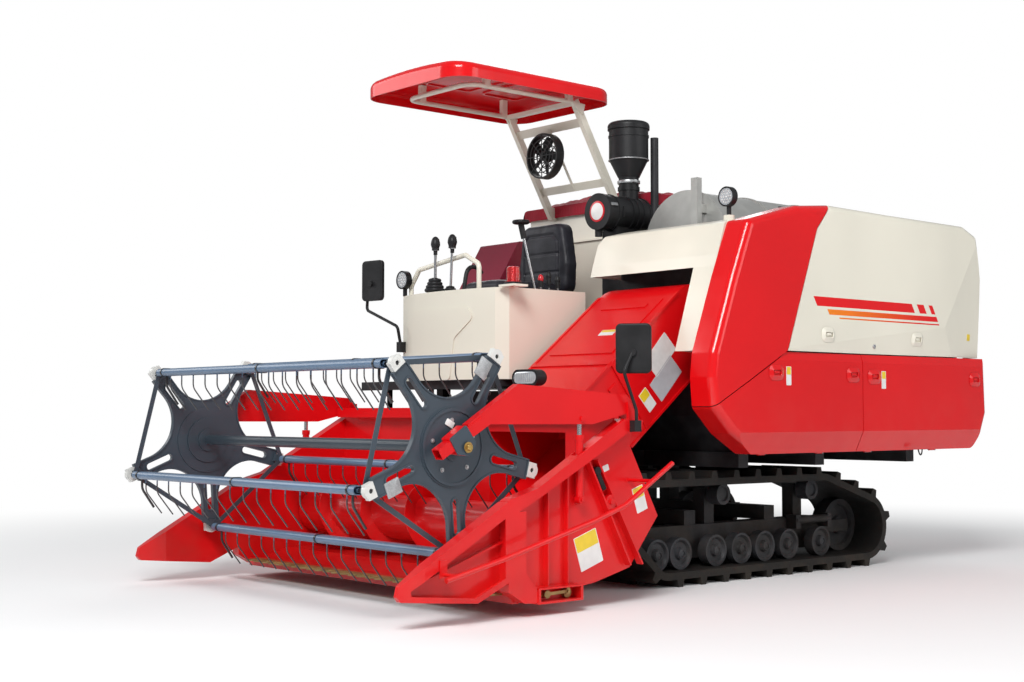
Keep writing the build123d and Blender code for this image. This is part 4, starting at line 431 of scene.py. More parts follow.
def lever_finish(name):
    """Plated levers with black knobs and rubber boots."""
    finish = Finish(name, (0.7, 0.7, 0.72), 0.16, metallic=1.0)
    x, _, z = finish.axes()
    short = x > LEVER_SPLIT
    long_black = (z > LONG_KNOBS) + (z < LONG_BOOTS[1]) * (z > LONG_BOOTS[0])
    short_black = (z > SHORT_KNOBS) + (z < SHORT_FEET)
    mask = long_black * (1 - short) + short_black * short
    finish.set("Base Color", finish.blend(mask, (0.7, 0.7, 0.72), (0.012, 0.012, 0.013)))
    finish.set("Metallic", 1 - mask)
    finish.set("Roughness", mask * 0.24 + finish.noise(120.0, 3.0) * 0.08 + 0.12)
    finish.relief(finish.noise(400.0, 2.0), 0.06, 0.0006)
    return finish


def striped_cover(name, colour, red, amber):
    """Cream moulding with slanted red and amber stripes."""
    finish = moulded(name, colour, 0.25)
    x, y, z = finish.axes()
    lean = y + (z - STRIPE_FOOT) * STRIPE_LEAN
    outer = x > STRIPES_OUT

    def bands(rows):
        masks = [(z > low) * (z < high) * (lean > front) * (lean < rear)
                 for low, high, front, rear in rows]
        return sum(masks[1:], masks[0]) * outer

    ember = finish.blend(y.rise(0.55, 1.7), amber, red)
    first = finish.blend(bands(RED_STRIPES), finish.colour(), red)
    finish.set("Base Color", finish.blend(bands(SHADED_STRIPES), first, ember))
    return finish


def arm_paint(name, red, slate):
    """Red reel arms with the slate hub brackets at their ends."""
    finish = paint(name, red, 0.30)
    x, y, _ = finish.axes()
    bracket = (abs(x) > HUB_BRACKET[0]) * (y < HUB_BRACKET[1])
    finish.set("Base Color", finish.blend(bracket, finish.colour(), slate))
    return finish


def flat_plate(name, colour, roughness=0.35):
    """Bare enamelled plate with a faint wash."""
    finish = Finish(name, colour, roughness, coat=0.3)
    finish.set("Base Color", finish.mottled(30.0, 3.0, toned(colour, 0.93), colour))
    finish.set("Roughness", finish.noise(60.0, 3.0) * 0.12 + (roughness - 0.06))
    finish.relief(finish.noise(350.0, 2.0), 0.05, 0.0005)
    return finish


def clear_glass(name, tint, roughness=0.05, ribs=0.0):
    """Lens glass over a bright reflector."""
    finish = Finish(name, tint, roughness, metallic=0.35, coat=1.0)
    finish.set("Base Color", finish.mottled(20.0, 2.0, toned(tint, 0.8), tint))
    finish.set("Roughness", finish.noise(90.0, 2.0) * 0.06 + roughness)
    if ribs:
        _, _, z = finish.axes()
        finish.relief(finish.maths("SINE", z * ribs), 0.5, 0.002)
    else:
        finish.relief(finish.noise(300.0, 1.0), 0.05, 0.0005)
    return finish


def worn_metal(name, colour, roughness=0.38):
    """Zinc, brass or rubbed steel with fine scratches."""
    finish = Finish(name, colour, roughness, metallic=0.85)
    spangle = finish.node("ShaderNodeTexVoronoi", values={
        "Vector": finish.place(), "Scale": 260.0}, out="Color")
    split = finish.node("ShaderNodeSeparateColor", values=[spangle])
    tone = split * 0.35 + finish.noise(40.0, 4.0) * 0.6
    finish.set("Base Color", finish.blend(tone.rise(0.2, 0.8), toned(colour, 0.7), colour))
    finish.set("Roughness", tone * 0.25 + (roughness - 0.1))
    finish.relief(finish.noise(300.0, 3.0), 0.12, 0.0008)
    return finish


class HARVESTER_OT_finishes(Operator):
    """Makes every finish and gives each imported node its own"""

    bl_idname = "harvester.finishes"
    bl_label = "Finishes"

    def execute(self, context):
        tint = context.scene.harvester_paint
        dust = tuple(tint.dust)
        red, cream = tuple(tint.red), tuple(tint.cream)
        black = tuple(tint.black)
        paint("body_red", red)
        moulded("cover_red", red)
        paint("body_cream", cream, roughness=0.36, coat=0.35)
        moulded("cover_cream", cream, roughness=0.25)
        # intake box: its red painted darker as painted shade
        paint("maroon_paint", tuple(tint.maroon), roughness=0.3)
        paint("reel_slate", tuple(tint.slate), roughness=0.42, coat=0.25)
        dull_metal("chassis_black", black, 0.5, dust=dust)
        dull_metal("cast_black", (0.02, 0.022, 0.026), 0.45, dust=dust, most=0.45)
        dull_metal("grey_panel", (0.44, 0.44, 0.42), 0.42, metallic=0.5, most=0.12, vary=1.12)
        # black front: partly black paint, partly painted shade under the covers
        body_panel("body_panel", (0.016, 0.016, 0.018), (0.30, 0.30, 0.29), dust)
        dull_metal("knife_brass", (0.30, 0.21, 0.085), 0.4, metallic=0.7, most=0.2)
        rubber_track("track_rubber", (0.010, 0.010, 0.010), dust)
        grained_plastic("black_plastic", (0.010, 0.010, 0.011))
        polished("chrome", (0.72, 0.72, 0.74))
        hide("vinyl", (0.012, 0.012, 0.016))
        coated_cloth("tarp", (0.42, 0.01, 0.03))
        lever_finish("levers")
        striped_cover("striped_cream", cream, red, tuple(tint.amber))
        arm_paint("arm_red", red, tuple(tint.slate))
        for index in range(5):
            reel_bar_paint(f"bar_blue_{index + 1}", tuple(tint.blue), index)
        flat_plate("plate_yellow", (0.85, 0.62, 0.03))
        flat_plate("plate_white", (0.82, 0.82, 0.80))
        flat_plate("plate_red", (0.62, 0.01, 0.02))
        flat_plate("bearing_white", (0.70, 0.70, 0.67))
        flat_plate("plate_silver", (0.56, 0.57, 0.60), 0.3)
        worn_metal("galvanised", (0.56, 0.57, 0.58), 0.42)
        worn_metal("brass", (0.58, 0.38, 0.12), 0.34)
        worn_metal("worn_steel", (0.30, 0.30, 0.31), 0.45)
        clear_glass("lamp_glass", (0.60, 0.63, 0.66))
        clear_glass("lamp_cup", (0.80, 0.80, 0.78))
        clear_glass("mirror_glass", (0.72, 0.75, 0.78), 0.02)
        clear_glass("beacon_glass", (0.62, 0.008, 0.012), 0.08, 900.0)
        for name, nodes in NODE_FINISH.items():
            for node in nodes:
                dress_node(node, name)
        return {"FINISHED"}


def dress_node(node, finish):
    """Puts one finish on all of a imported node."""
    slots = frame["nodes"][node].material_slots
    for slot in slots:
        slot.material = FINISHES[finish]
    if not slots:
        raise RuntimeError(f"{node} has no material slot")


# ------------------------------------------------------------------ modelling
def alone(*pieces):
    """Selects these pieces and nothing else."""
    bpy.ops.object.select_all(action="DESELECT")
    for piece in pieces:
        piece.select_set(True)
    bpy.context.view_layer.objects.active = pieces[0]


def facing(normal, up=(0, 0, 1)):
    """Turn that points local Z along a normal, with local Y near up."""
    out = Vector(normal).normalized()
    if abs(out.dot(Vector(up))) > 0.97:
        up = (0, 1, 0)
    across = Vector(up).cross(out).normalized()
    return Matrix((across, out.cross(across), out)).transposed().to_euler()


def leaning(normal, degrees, above=TOP):
    """Upward direction of a plate that leans in its own plane."""
    up = Vector(above)
    up.rotate(Matrix.Rotation(math.radians(degrees), 3, normal))
    return up


def add(kind, name, place, turn=(0, 0, 0), spread=(1, 1, 1), **options):
    """Adds a primitive at its place, turn and size with nothing else selected."""
    bpy.ops.object.select_all(action="DESELECT")
    primitive = getattr(bpy.ops.mesh, f"primitive_{kind}_add")
    primitive(location=place, rotation=turn, **options)
    piece = bpy.context.object
    piece.name = name
    piece.scale = spread
    bpy.ops.object.transform_apply(location=False, rotation=False, scale=True)
    return piece


def edit(piece, part, test, *steps):
    """Runs edit-mode steps on the faces or edges that a test picks."""
    alone(piece)
    bpy.ops.object.mode_set(mode="EDIT")
    bpy.ops.mesh.select_mode(type="FACE" if part == "faces" else "EDGE")
    bpy.ops.mesh.select_all(action="DESELECT")
    mesh = bmesh.from_edit_mesh(piece.data)
    for item in getattr(mesh, part):
        if test(item):
            item.select_set(True)
    bmesh.update_edit_mesh(piece.data)
    for step, settings in steps:
        getattr(bpy.ops.mesh, step)(**settings)
    bpy.ops.object.mode_set(mode="OBJECT")
    return piece


def upright(edge):
    """Whether an edge runs along its piece's local Z."""
    a, b = (vert.co for vert in edge.verts)
    return abs((b - a).normalized().z) > 0.99


def front(face):
    """Whether a face looks along its piece's local Z."""
    return face.normal.z > 0.9


def inset(piece, *steps):
    """Insets a piece's front by widths and depths, one step after another."""
    return edit(piece, "faces", front, *(
        ("inset", {"thickness": width, "depth": depth}) for width, depth in steps))


def modified(piece, kind, **settings):
    """Adds one modifier with its settings and applies it."""
    alone(piece)
    bpy.ops.object.modifier_add(type=kind)
    modifier = piece.modifiers[-1]
    for key, value in settings.items():
        setattr(modifier, key, value)
    bpy.ops.object.modifier_apply(modifier=modifier.name)
    return piece


def eased(piece, width, segments=2):
    """Rounds a piece's sharp edges."""
    return modified(piece, "BEVEL", width=width, segments=segments,
                    limit_method="ANGLE", angle_limit=math.radians(35))


def slab(name, place, size, normal, up=(0, 0, 1), corner=0.0, edge=0.0):
    """Plate of a length, height and thickness that faces a normal."""
    piece = add("cube", name, place, facing(normal, up), size, size=1)
    if corner:
        edit(piece, "edges", upright, ("bevel", {"offset": corner, "segments": 4}))
    return eased(piece, edge) if edge else piece


def disc(name, place, radius, depth, normal, sides=32, edge=0.0):
    """Round plate that faces a normal."""
    piece = add("cylinder", name, place, facing(normal), radius=radius, depth=depth,
                vertices=sides)
    return eased(piece, edge) if edge else piece


def ring(name, place, radius, thick, normal, turns=40, sides=10):
    """Round ring of wire or piping that faces a normal."""
    return add("torus", name, place, facing(normal), major_radius=radius,
               minor_radius=thick, major_segments=turns, minor_segments=sides)


def tube(name, points, radius, sides=4):
    """Fixed pipe or wire through smooth points, as a mesh."""
    line = bpy.data.curves.new(name, "CURVE")
    line.dimensions = "3D"
    spline = line.splines.new("NURBS")
    spline.points.add(len(points) - 1)
    for point, place in zip(spline.points, points):
        point.co = (*place, 1.0)
    spline.order_u = 3
    spline.use_endpoint_u = True
    line.bevel_depth = radius
    line.bevel_resolution = sides
    line.resolution_u = 8
    line.use_fill_caps = True
    pipe = bpy.data.objects.new(name, line)
    bpy.context.collection.objects.link(pipe)
    alone(pipe)
    bpy.ops.object.convert(target="MESH")
    piece = bpy.context.object
    return edit(piece, "faces", lambda face: True,
                ("remove_doubles", {"threshold": 0.00001}),
                ("normals_make_consistent", {"inside": False}))


def spread_out(piece, moves):
    """One copy of a piece with its own mesh at every move, joined as one."""
    family = []
    for move in moves:
        twin = piece.copy()
        twin.data = piece.data.copy()
        bpy.context.collection.objects.link(twin)
        twin.matrix_world = move @ piece.matrix_basis
        family.append(twin)
    name = piece.name
    bpy.data.objects.remove(piece)
    alone(*family)
    if len(family) > 1:
        bpy.ops.object.join()
    family[0].name = name
    return family[0]


def as_one(name, pieces):
    """Joins pieces of one finish into the first."""
    for piece in pieces:
        alone(piece)
        bpy.ops.object.transform_apply(location=True, rotation=True, scale=True)
    alone(*pieces)
    if len(pieces) > 1:
        bpy.ops.object.join()
    pieces[0].name = name
    return pieces[0]


def settle(piece, finish, body, angle=35):
    """Puts a piece's place in its mesh, shades, dresses and rides it."""
    alone(piece)
    bpy.ops.object.transform_apply(location=True, rotation=True, scale=True)
    bpy.ops.object.shade_smooth_by_angle(angle=math.radians(angle))
    piece.data.materials.clear()
    piece.data.materials.append(FINISHES[finish])
    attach(piece, body)
    return piece


BODY_OF = {node: body for body, nodes in frame["record"]["behaviour"]["bodies"].items()
           for node in nodes}


def touch(start, direction):
    """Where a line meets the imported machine: the point, its normal and its body."""
    graph = bpy.context.evaluated_depsgraph_get()
    hit, place, normal, _, item, _ = bpy.context.scene.ray_cast(
        graph, Vector(start), Vector(direction).normalized())
    if not hit:
        raise RuntimeError(f"nothing lies along {direction} from {start}")
    return place, normal, BODY_OF.get(item.name, "root")


# ------------------------------------------------------------------ plates
# name, side it is seen from, the two other coordinates and, behind a cover, how far out the
# search for its surface starts, lean in degrees, width, height, finish, its upper part's finish
BLANK_PLATES = [
    ("lower_plate_front", LEFT, (0.350, 1.114), 0, 0.040, 0.100, "plate_white", "plate_yellow"),
    ("lower_plate_rear", LEFT, (1.202, 1.104), 0, 0.040, 0.100, "plate_white", "plate_yellow"),
    ("upper_plate_rear", LEFT, (2.130, 1.377), 0, 0.036, 0.040, "plate_yellow", None),
    ("header_plate_low", LEFT, (-1.070, 0.275), 18, 0.150, 0.165, "plate_white", "plate_yellow"),
    ("header_plate_rear", LEFT, (-0.725, 0.500), 18, 0.075, 0.125, "plate_white", "plate_yellow"),
    ("header_plate_small", LEFT, (-0.955, 0.655), 18, 0.040, 0.030, "plate_white", None),
    ("feeder_plate_low", LEFT, (-0.315, 0.985), 44, 0.070, 0.120, "plate_white", "plate_yellow"),
    ("feeder_plate_white", LEFT, (-0.215, 1.225, 0.95), 46, 0.215, 0.125, "plate_white", None),
    ("feeder_plate_silver", LEFT, (-0.175, 1.100, 0.95), 46, 0.225, 0.125, "plate_silver", None),
    ("feeder_plate_top", TOP, (0.560, -0.370), 0, 0.110, 0.050, "plate_white", "plate_yellow"),
]
UPPER_SHARE = 0.46          # of a two-coloured plate's height
PLATE_THICK = 0.0016
PLATE_BORDER = 0.0025
PLATE_CORNER = 0.004


def blank_plate(name, side, at, lean, width, height, finish, upper):
    """Bare plate on whatever shows at its place, its upper part maybe in a second colour."""
    across, up, *outside = at
    start = {LEFT: (outside[0] if outside else 3, across, up), FRONT: (across, -4, up),
             TOP: (across, up, 5), RIGHT: (-3, across, up), REAR: (across, 4, up)}[side]
    place, normal, body = touch(start, -Vector(side))
    above = leaning(normal, lean, REAR if side is TOP else TOP)
    piece = slab(name, place + normal * 0.0009, (width, height, PLATE_THICK), normal, above,
                 PLATE_CORNER)
    inset(piece, (PLATE_BORDER, -0.0003))
    settle(piece, finish, body)
    if upper:
        rise = facing(normal, above).to_matrix() @ Vector((0, 1, 0))
        middle = place + normal * PLATE_THICK + rise * height * (1 - UPPER_SHARE) / 2
        size = (width - 0.008, height * UPPER_SHARE - 0.006, PLATE_THICK)
        patch = slab(name + "_upper", middle, size, normal, above, 0.003)
        settle(patch, upper, body)


class HARVESTER_OT_plates(Operator):
    """Adds the bare plates on the covers, header and feeder"""

    bl_idname = "harvester.plates"
    bl_label = "Bare plates"

    def execute(self, context):
        for row in BLANK_PLATES:
            blank_plate(*row)
        return {"FINISHED"}


# ------------------------------------------------------------------ covers
RED_LATCHES = [(0.247, 1.130), (0.916, 1.128), (1.112, 1.120), (2.140, 1.118)]
CREAM_LATCHES = [(0.693, 1.345), (1.543, 1.345)]
LATCH_BEZEL, LATCH_PADDLE = (0.074, 0.036, 0.008), (0.044, 0.014, 0.006)
KEY_LOCK = (1.120, 1.293)
ROPE_HOOK = [(1.196, 1.54, 0.704), (1.198, 1.545, 0.682), (1.198, 1.56, 0.668),
             (1.198, 1.575, 0.682), (1.196, 1.58, 0.704)]


def latch(name, across, up, finish):
    """Recessed paddle latch: a rounded bezel with a sunk well and a paddle."""
    place, normal, body = touch((3, across, up), RIGHT)
    bezel = slab(name + "_bezel", place + normal * 0.003, LATCH_BEZEL, normal, corner=0.008,
                 edge=0.0015)
    inset(bezel, (0.006, 0.0), (0.001, -0.005))
    paddle = slab(name + "_paddle", place + normal * 0.006 + Vector((0, 0, 0.003)),
                  LATCH_PADDLE, normal, corner=0.003, edge=0.001)
    return settle(as_one(name, [bezel, paddle]), finish, body)


class HARVESTER_OT_cover_fittings(Operator):
    """Adds the covers' latches, lock and rope hook"""

    bl_idname = "harvester.cover_fittings"
    bl_label = "Cover fittings"

    def execute(self, context):
        for colour, latches in (("red", RED_LATCHES), ("cream", CREAM_LATCHES)):
            for index, (across, up) in enumerate(latches):
                finish = f"cover_{colour}"
                latch(f"{colour}_latch_{index + 1}", across, up, finish)
        place, normal, body = touch((3, *KEY_LOCK), RIGHT)
        lock = disc("key_lock", place + normal * 0.003, 0.013, 0.008, normal, edge=0.002)
        inset(lock, (0.004, -0.002), (0.004, 0.001))
        settle(lock, "chrome", body)
        hook = tube("rope_hook", ROPE_HOOK, 0.004)
        settle(hook, "chassis_black", "root")
        return {"FINISHED"}


# ------------------------------------------------------------------ lamps
# name, place along X and Z of the round lamps, which look forward
ROUND_LAMPS = [("bonnet_lamp", 1.000, 2.072), ("console_lamp", -0.770, 1.695)]
ROUND_LENS = 0.0455
HEADER_LAMP = (0.563, 1.096)
HEADER_LENS = (0.168, 0.060, 0.006)
HEADER_RIBS, RIB_PITCH, RIB = 9, 0.0165, (0.002, 0.044, 0.003)
BEACON_FOOT = Vector((0.172, -0.700, 1.617))
BEACON_RIBS, BEACON_RIB_START, BEACON_RIB_PITCH = 3, 0.023, 0.02
# name, middle of the mirror's back, turn in degrees, body
MIRRORS = [("left_mirror_glass", (1.232, -0.856, 1.226), 35.6, "header"),
           ("right_mirror_glass", (-0.970, -0.815, 1.700), 8.0, "root")]
MIRROR_GLASS, MIRROR_HALF_DEPTH = (0.150, 0.216, 0.003), 0.0122


def led_lens(name, place, radius, normal, body, rows=((0.0, 1), (0.42, 6), (0.78, 12))):
    """Clear round lens with its reflector cups behind it."""
    glass = disc(name + "_glass", place, radius, 0.006, normal, 48, 0.0015)
    inset(glass, (0.004, -0.0015))
    settle(glass, "lamp_glass", body)
    turn = facing(normal).to_matrix()
    cups = []
    for share, count in rows:
        for index in range(count):
            angle = math.tau * index / count
            spot = turn @ Vector((math.cos(angle), math.sin(angle), 0)) * radius * share * 0.92
            cup = add("uv_sphere", name + "_cup", place + spot + Vector(normal) * 0.0012,
                      facing(normal), (1, 1, 0.5), segments=12, ring_count=6,
                      radius=radius * 0.13)
            cups.append(cup)
    return settle(as_one(name + "_cups", cups), "lamp_cup", body)


class HARVESTER_OT_lamps(Operator):
    """Adds the lenses of the lamps, the beacon's ribs and the mirrors' glass"""

    bl_idname = "harvester.lamps"
    bl_label = "Lamps and mirrors"

    def execute(self, context):
        for name, x, z in ROUND_LAMPS:
            place, normal, body = touch((x, -4, z), REAR)
            led_lens(name, place + normal * 0.003, ROUND_LENS, normal, body)
        place, normal, body = touch((HEADER_LAMP[0], -4, HEADER_LAMP[1]), REAR)
        lens = slab("header_lens", place + normal * 0.003, HEADER_LENS, normal,
                    corner=0.029, edge=0.0015)
        inset(lens, (0.006, -0.001))
        settle(lens, "lamp_glass", body)
        for index in range(HEADER_RIBS):
            step = (index - (HEADER_RIBS - 1) / 2) * RIB_PITCH
            rib = slab(f"header_rib_{index}", place + normal * 0.0065 + Vector((step, 0, 0)),
                       RIB, normal, edge=0.0008)
            settle(rib, "lamp_cup", body)
        for index in range(BEACON_RIBS):
            height = BEACON_RIB_START + index * BEACON_RIB_PITCH
            band = ring(f"beacon_rib_{index}", BEACON_FOOT + Vector(TOP) * height, 0.0358,
                        0.0016, TOP)
            settle(band, "beacon_glass", "root")
        base = disc("beacon_base", BEACON_FOOT, 0.048, 0.012, TOP, 48, 0.003)
        settle(base, "black_plastic", "root")
        for name, place, turn, body in MIRRORS:
            angle = math.radians(turn)
            back = Vector((-math.sin(angle), math.cos(angle), 0))
            glass = slab(name, Vector(place) + back * MIRROR_HALF_DEPTH, MIRROR_GLASS, back,
                         corner=0.018, edge=0.001)
            settle(glass, "mirror_glass", body)
        return {"FINISHED"}


# ------------------------------------------------------------------ controls
LEVER_TOPS = [(-0.4535, -0.746, 1.874), (-0.299, -0.746, 1.874)]
LEVER_KNOB, SHORT_KNOB = (0.027, 0.098), (0.017, 0.060)     # radius and height
# how far right of its knob a long lever's foot lies, boot radius, height, folds and lift
LEVER_BOOTS = [("lever_boot", 0.018, 0.048, 0.075, 4, 0.006),
               ("lever_collar", 0.030, 0.026, 0.022, 2, 0.003)]
SHORT_X = -0.030
SHORT_LEVERS = [(-0.319, 1.672), (-0.259, 1.692), (-0.189, 1.672)]
TEE_FOOT, TEE_HEAD = Vector((SHORT_X, -0.300, 1.404)), Vector((-0.085, -0.420, 1.985))
GRIP_X = -0.300
GRIP_ROUTE = [(-0.650, 1.690), (-0.632, 1.735), (-0.590, 1.752), (-0.550, 1.735),
              (-0.530, 1.715)]


def knob(name, place, radius, height):
    """Rounded pear-shaped hand knob that narrows to its lever."""
    ball = add("uv_sphere", name, place, spread=(1, 1, height / radius / 2), segments=32,
               ring_count=20, radius=radius)
    lowest = place[2] - height / 2
    for vert in ball.data.vertices:
        share = 1 - 0.45 * max(0.0, min(1.0, -vert.co.z / (height / 2)))
        vert.co.x *= share
        vert.co.y *= share
    neck = add("cylinder", name + "_neck", (place[0], place[1], lowest + height * 0.06),
               radius=radius * 0.42, depth=height * 0.3, vertices=24)
    return as_one(name, [ball, eased(neck, radius * 0.08)])


def boot(name, place, radius, height, folds=4):
    """Rubber lever boot of stacked folds."""
    pieces = []
    for index in range(folds):
        share = index / folds
        fold = add("torus", name + "_fold", Vector(place) + Vector((0, 0, height * share)),
                   major_radius=radius * (1 - 0.62 * share), minor_radius=height / folds * 0.62,
                   major_segments=40, minor_segments=12)
        pieces.append(fold)
    cone = add("cone", name + "_core", Vector(place) + Vector((0, 0, height * 0.45)),
               radius1=radius * 0.95, radius2=radius * 0.35, depth=height, vertices=40)
    return as_one(name, [*pieces, cone])


class HARVESTER_OT_controls(Operator):
    """Adds the levers' knobs and boots, the tee handle and the grip"""

    bl_idname = "harvester.controls"
    bl_label = "Controls"

    def execute(self, context):
        for index, place in enumerate(LEVER_TOPS):
            ball = knob(f"lever_knob_{index + 1}", place, *LEVER_KNOB)
            settle(ball, "black_plastic", "root", 60)
        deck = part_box("console")[1][2]
        for (x, y, _), row in zip(LEVER_TOPS, LEVER_BOOTS):
            name, back, radius, height, folds, lift = row
            cover = boot(name, (x - back, y + 0.010, deck + lift), radius, height, folds)
            settle(cover, "black_plastic", "root")
        for index, (y, z) in enumerate(SHORT_LEVERS):
            tip = knob(f"short_knob_{index + 1}", (SHORT_X, y, z), *SHORT_KNOB)
            settle(tip, "plate_red" if index == 0 else "black_plastic", "root",
                   60)

        def along(share):
            return TEE_FOOT.lerp(TEE_HEAD, share)

        stem = tube("tee_stem", [along(share) for share in (0, 0.3, 0.7, 1)], 0.0065)
        settle(stem, "chrome", "root")
        grip = tube("tee_grip", [along(share) for share in (0.86, 0.92, 1)], 0.017, 6)
        bar = disc("tee_bar", TEE_HEAD + Vector((0, 0, 0.012)), 0.050, 0.022, TOP, 40, 0.009)
        settle(as_one("tee_handle", [grip, bar]), "black_plastic", "root", 50)
        route = [(GRIP_X, -0.660, deck + 0.001), *((GRIP_X, y, z) for y, z in GRIP_ROUTE)]
        bend = tube("console_grip", route, 0.012, 6)
        settle(bend, "black_plastic", "root", 50)
        return {"FINISHED"}


# ------------------------------------------------------------------ reel
# name, place along Y and Z, lean in degrees, width, height, finish
SPIDER_PLATES = [
    ("hub_plate", (-1.872, 0.872), -28, 0.046, 0.030, "plate_white"),
    ("arm_clamp_upper", (-1.676, 1.118), -32, 0.070, 0.090, "galvanised"),
    ("arm_clamp_front", (-2.172, 0.600), 112, 0.070, 0.080, "galvanised"),
]
HUB_NUT, HUB_BOLT = (0.016, 0.014), (0.007, 0.006)      # radius and height
HUB_BOLTS, HUB_BOLT_CIRCLE = 5, 0.118


def hex_bolt(name, place, radius, depth, normal):
    """Hexagon head on its washer."""
    washer = disc(name + "_washer", place + Vector(normal) * 0.001, radius * 1.5, 0.002, normal,
                  20)
    head = add("cylinder", name + "_head", place + Vector(normal) * (0.002 + depth / 2),
               facing(normal), radius=radius, depth=depth, vertices=6)
    eased(head, radius * 0.12, 1)
    return as_one(name, [washer, head])


class HARVESTER_OT_reel_trim(Operator):
    """Adds the reel's hub nuts, bolts and arm clamps"""

    bl_idname = "harvester.reel_trim"
    bl_label = "Reel trim"

    def execute(self, context):
        for side in (-1, 1):
            out = Vector((side, 0, 0))
            tag = "left" if side > 0 else "right"
            place, _, body = touch(REEL_AXIS + out * 2, -out)
            nut = hex_bolt(f"hub_nut_{tag}", place, *HUB_NUT, out)
            settle(nut, "brass", body)
            bolts = hex_bolt(f"hub_bolts_{tag}", Vector((0, 0, 0)), *HUB_BOLT, out)
            spots = []
            for index in range(HUB_BOLTS):
                angle = math.radians(BAR_START + BAR_STEP * (index + 0.5))
                aim = REEL_AXIS + Vector((0, math.cos(angle), math.sin(angle))) * HUB_BOLT_CIRCLE
                spot, _, rides = touch(aim + out * 2, -out)
                if rides == "reel":
                    spots.append(Matrix.Translation(spot))
            settle(spread_out(bolts, spots), "galvanised", "reel")
        for name, (across, up), lean, width, height, finish in SPIDER_PLATES:
            place, normal, body = touch((3, across, up), RIGHT)
            piece = slab(name, place + normal * 0.003, (width, height, 0.006), normal,
                         leaning(normal, lean), PLATE_CORNER, 0.001)
            settle(piece, finish, body)
        return {"FINISHED"}


# ------------------------------------------------------------------ tracks
ROLLER_Z = 0.164
ROLLER_ROW = (-0.200, -0.020, 0.264, 0.476, 0.678, 0.891, 1.189)
ROLLER_FACE = 0.7665        # outer faces of the rollers, from the machine's centre
SPROCKET = Vector((0.6085, -0.400, 0.398))
SPROCKET_BOLTS, SPROCKET_CIRCLE = 8, 0.064


class HARVESTER_OT_roller_caps(Operator):
    """Adds the caps of the road rollers and the sprockets' bolts"""

    bl_idname = "harvester.roller_caps"
    bl_label = "Roller caps"

    def execute(self, context):
        for side in (-1, 1):
            tag = "left" if side > 0 else "right"
            out = Vector((side, 0, 0))
            cap = disc(f"roller_caps_{tag}", out * ROLLER_FACE, 0.026, 0.006, out, 24, 0.0015)
            inset(cap, (0.010, 0.0), (0.002, 0.004))
            caps = spread_out(cap, [Matrix.Translation((0, y, ROLLER_Z)) for y in ROLLER_ROW])
            settle(caps, "cast_black", "root")
            head = hex_bolt(f"sprocket_bolts_{tag}", out * SPROCKET.x, 0.009, 0.007, out)
            turns = []
            for index in range(SPROCKET_BOLTS):
                angle = math.tau * index / SPROCKET_BOLTS
                turns.append(Matrix.Translation((
                    0, SPROCKET.y + SPROCKET_CIRCLE * math.cos(angle),
                    SPROCKET.z + SPROCKET_CIRCLE * math.sin(angle))))
            settle(spread_out(head, turns), "worn_steel", "root")
        return {"FINISHED"}


# ------------------------------------------------------------------ air cleaner
CLEANER_AXIS = 2.095        # height of the lying canister's axis, over x = 0
CLEANER_FACE = 0.0988       # where its rim's plate lies
CLEANER_CLIPS, CLIP_CIRCLE, CLIP_Y = (20, 140, 260), 0.110, 0.140
CLIP = (0.018, 0.052, 0.006)
NECK = Vector((0.0, 0.362, 2.292))
BOWL_BAND = 0.132           # height of the bowl's band above the neck's clamp


class HARVESTER_OT_air_trim(Operator):
    """Adds the air cleaner's bare round plate, clips, clamp and bowl band"""

    bl_idname = "harvester.air_trim"
    bl_label = "Air cleaner trim"

    def execute(self, context):
        for name, radius, ahead, depth, edge, finish, slot in (
                ("cleaner_rim", 0.062, 0.0, 0.003, 0.001, "plate_red", "beacon_red"),
                ("cleaner_plate", 0.050, 0.0012, 0.0028, 0.0008, "plate_white",
                 "bearing_white")):
            place = (0.0, CLEANER_FACE - ahead, CLEANER_AXIS)
            settle(disc(name, place, radius, depth, FRONT, 48, edge), finish, "root")
        clips = []
        for angle in CLEANER_CLIPS:
            turn = math.radians(angle)
            out = Vector((math.cos(turn), 0, math.sin(turn)))
            place = Vector((0, CLIP_Y, CLEANER_AXIS)) + out * CLIP_CIRCLE
            clips.append(slab("cleaner_clip", place, CLIP, out, REAR, 0.003, 0.0015))
        settle(as_one("cleaner_clips", clips), "galvanised", "root")
        clamp = disc("neck_clamp", NECK, 0.068, 0.018, TOP, 48, 0.002)
        lug = slab("neck_clamp_lug", NECK + Vector((0.070, -0.022, 0)), (0.020, 0.016, 0.024),
                   (1, -0.3, 0), edge=0.002)
        settle(as_one("neck_clamp", [clamp, lug]), "galvanised", "root")
        band = ring("bowl_band", NECK + Vector(TOP) * BOWL_BAND, 0.1185, 0.004, TOP, 64, 10)
        settle(band, "galvanised", "root")
        return {"FINISHED"}


# ------------------------------------------------------------------ seat
def nearest_run(point, runs):
    """Shortest distance from a point to runs of straight lines."""
    best = 9.0
    for start, end in zip(runs, runs[1:]):
        a, b = Vector(start), Vector(end)
        share = max(0.0, min(1.0, (point - a).dot(b - a) / (b - a).length_squared))
        best = min(best, (point - a - (b - a) * share).length)
    return best


def pressed(pad, flatten, runs, depth, width, side):
    """Presses stitched channels into the side of a pad that faces outward."""
    for vert in pad.data.vertices:
        if vert.normal.dot(side) < 0.35:
            continue
        reach = nearest_run(Vector(flatten(vert.co)), runs)
        if reach < width:
            vert.co -= vert.normal * depth * (1 + math.cos(math.pi * reach / width)) / 2


PAD_SHRINK = 0.965          # the pads start smaller and are then blown up
PAD_VOXEL = 0.009
PAD_CROWN = 0.010
PRESSURE, SWELL_FRAMES = 4.0, 20


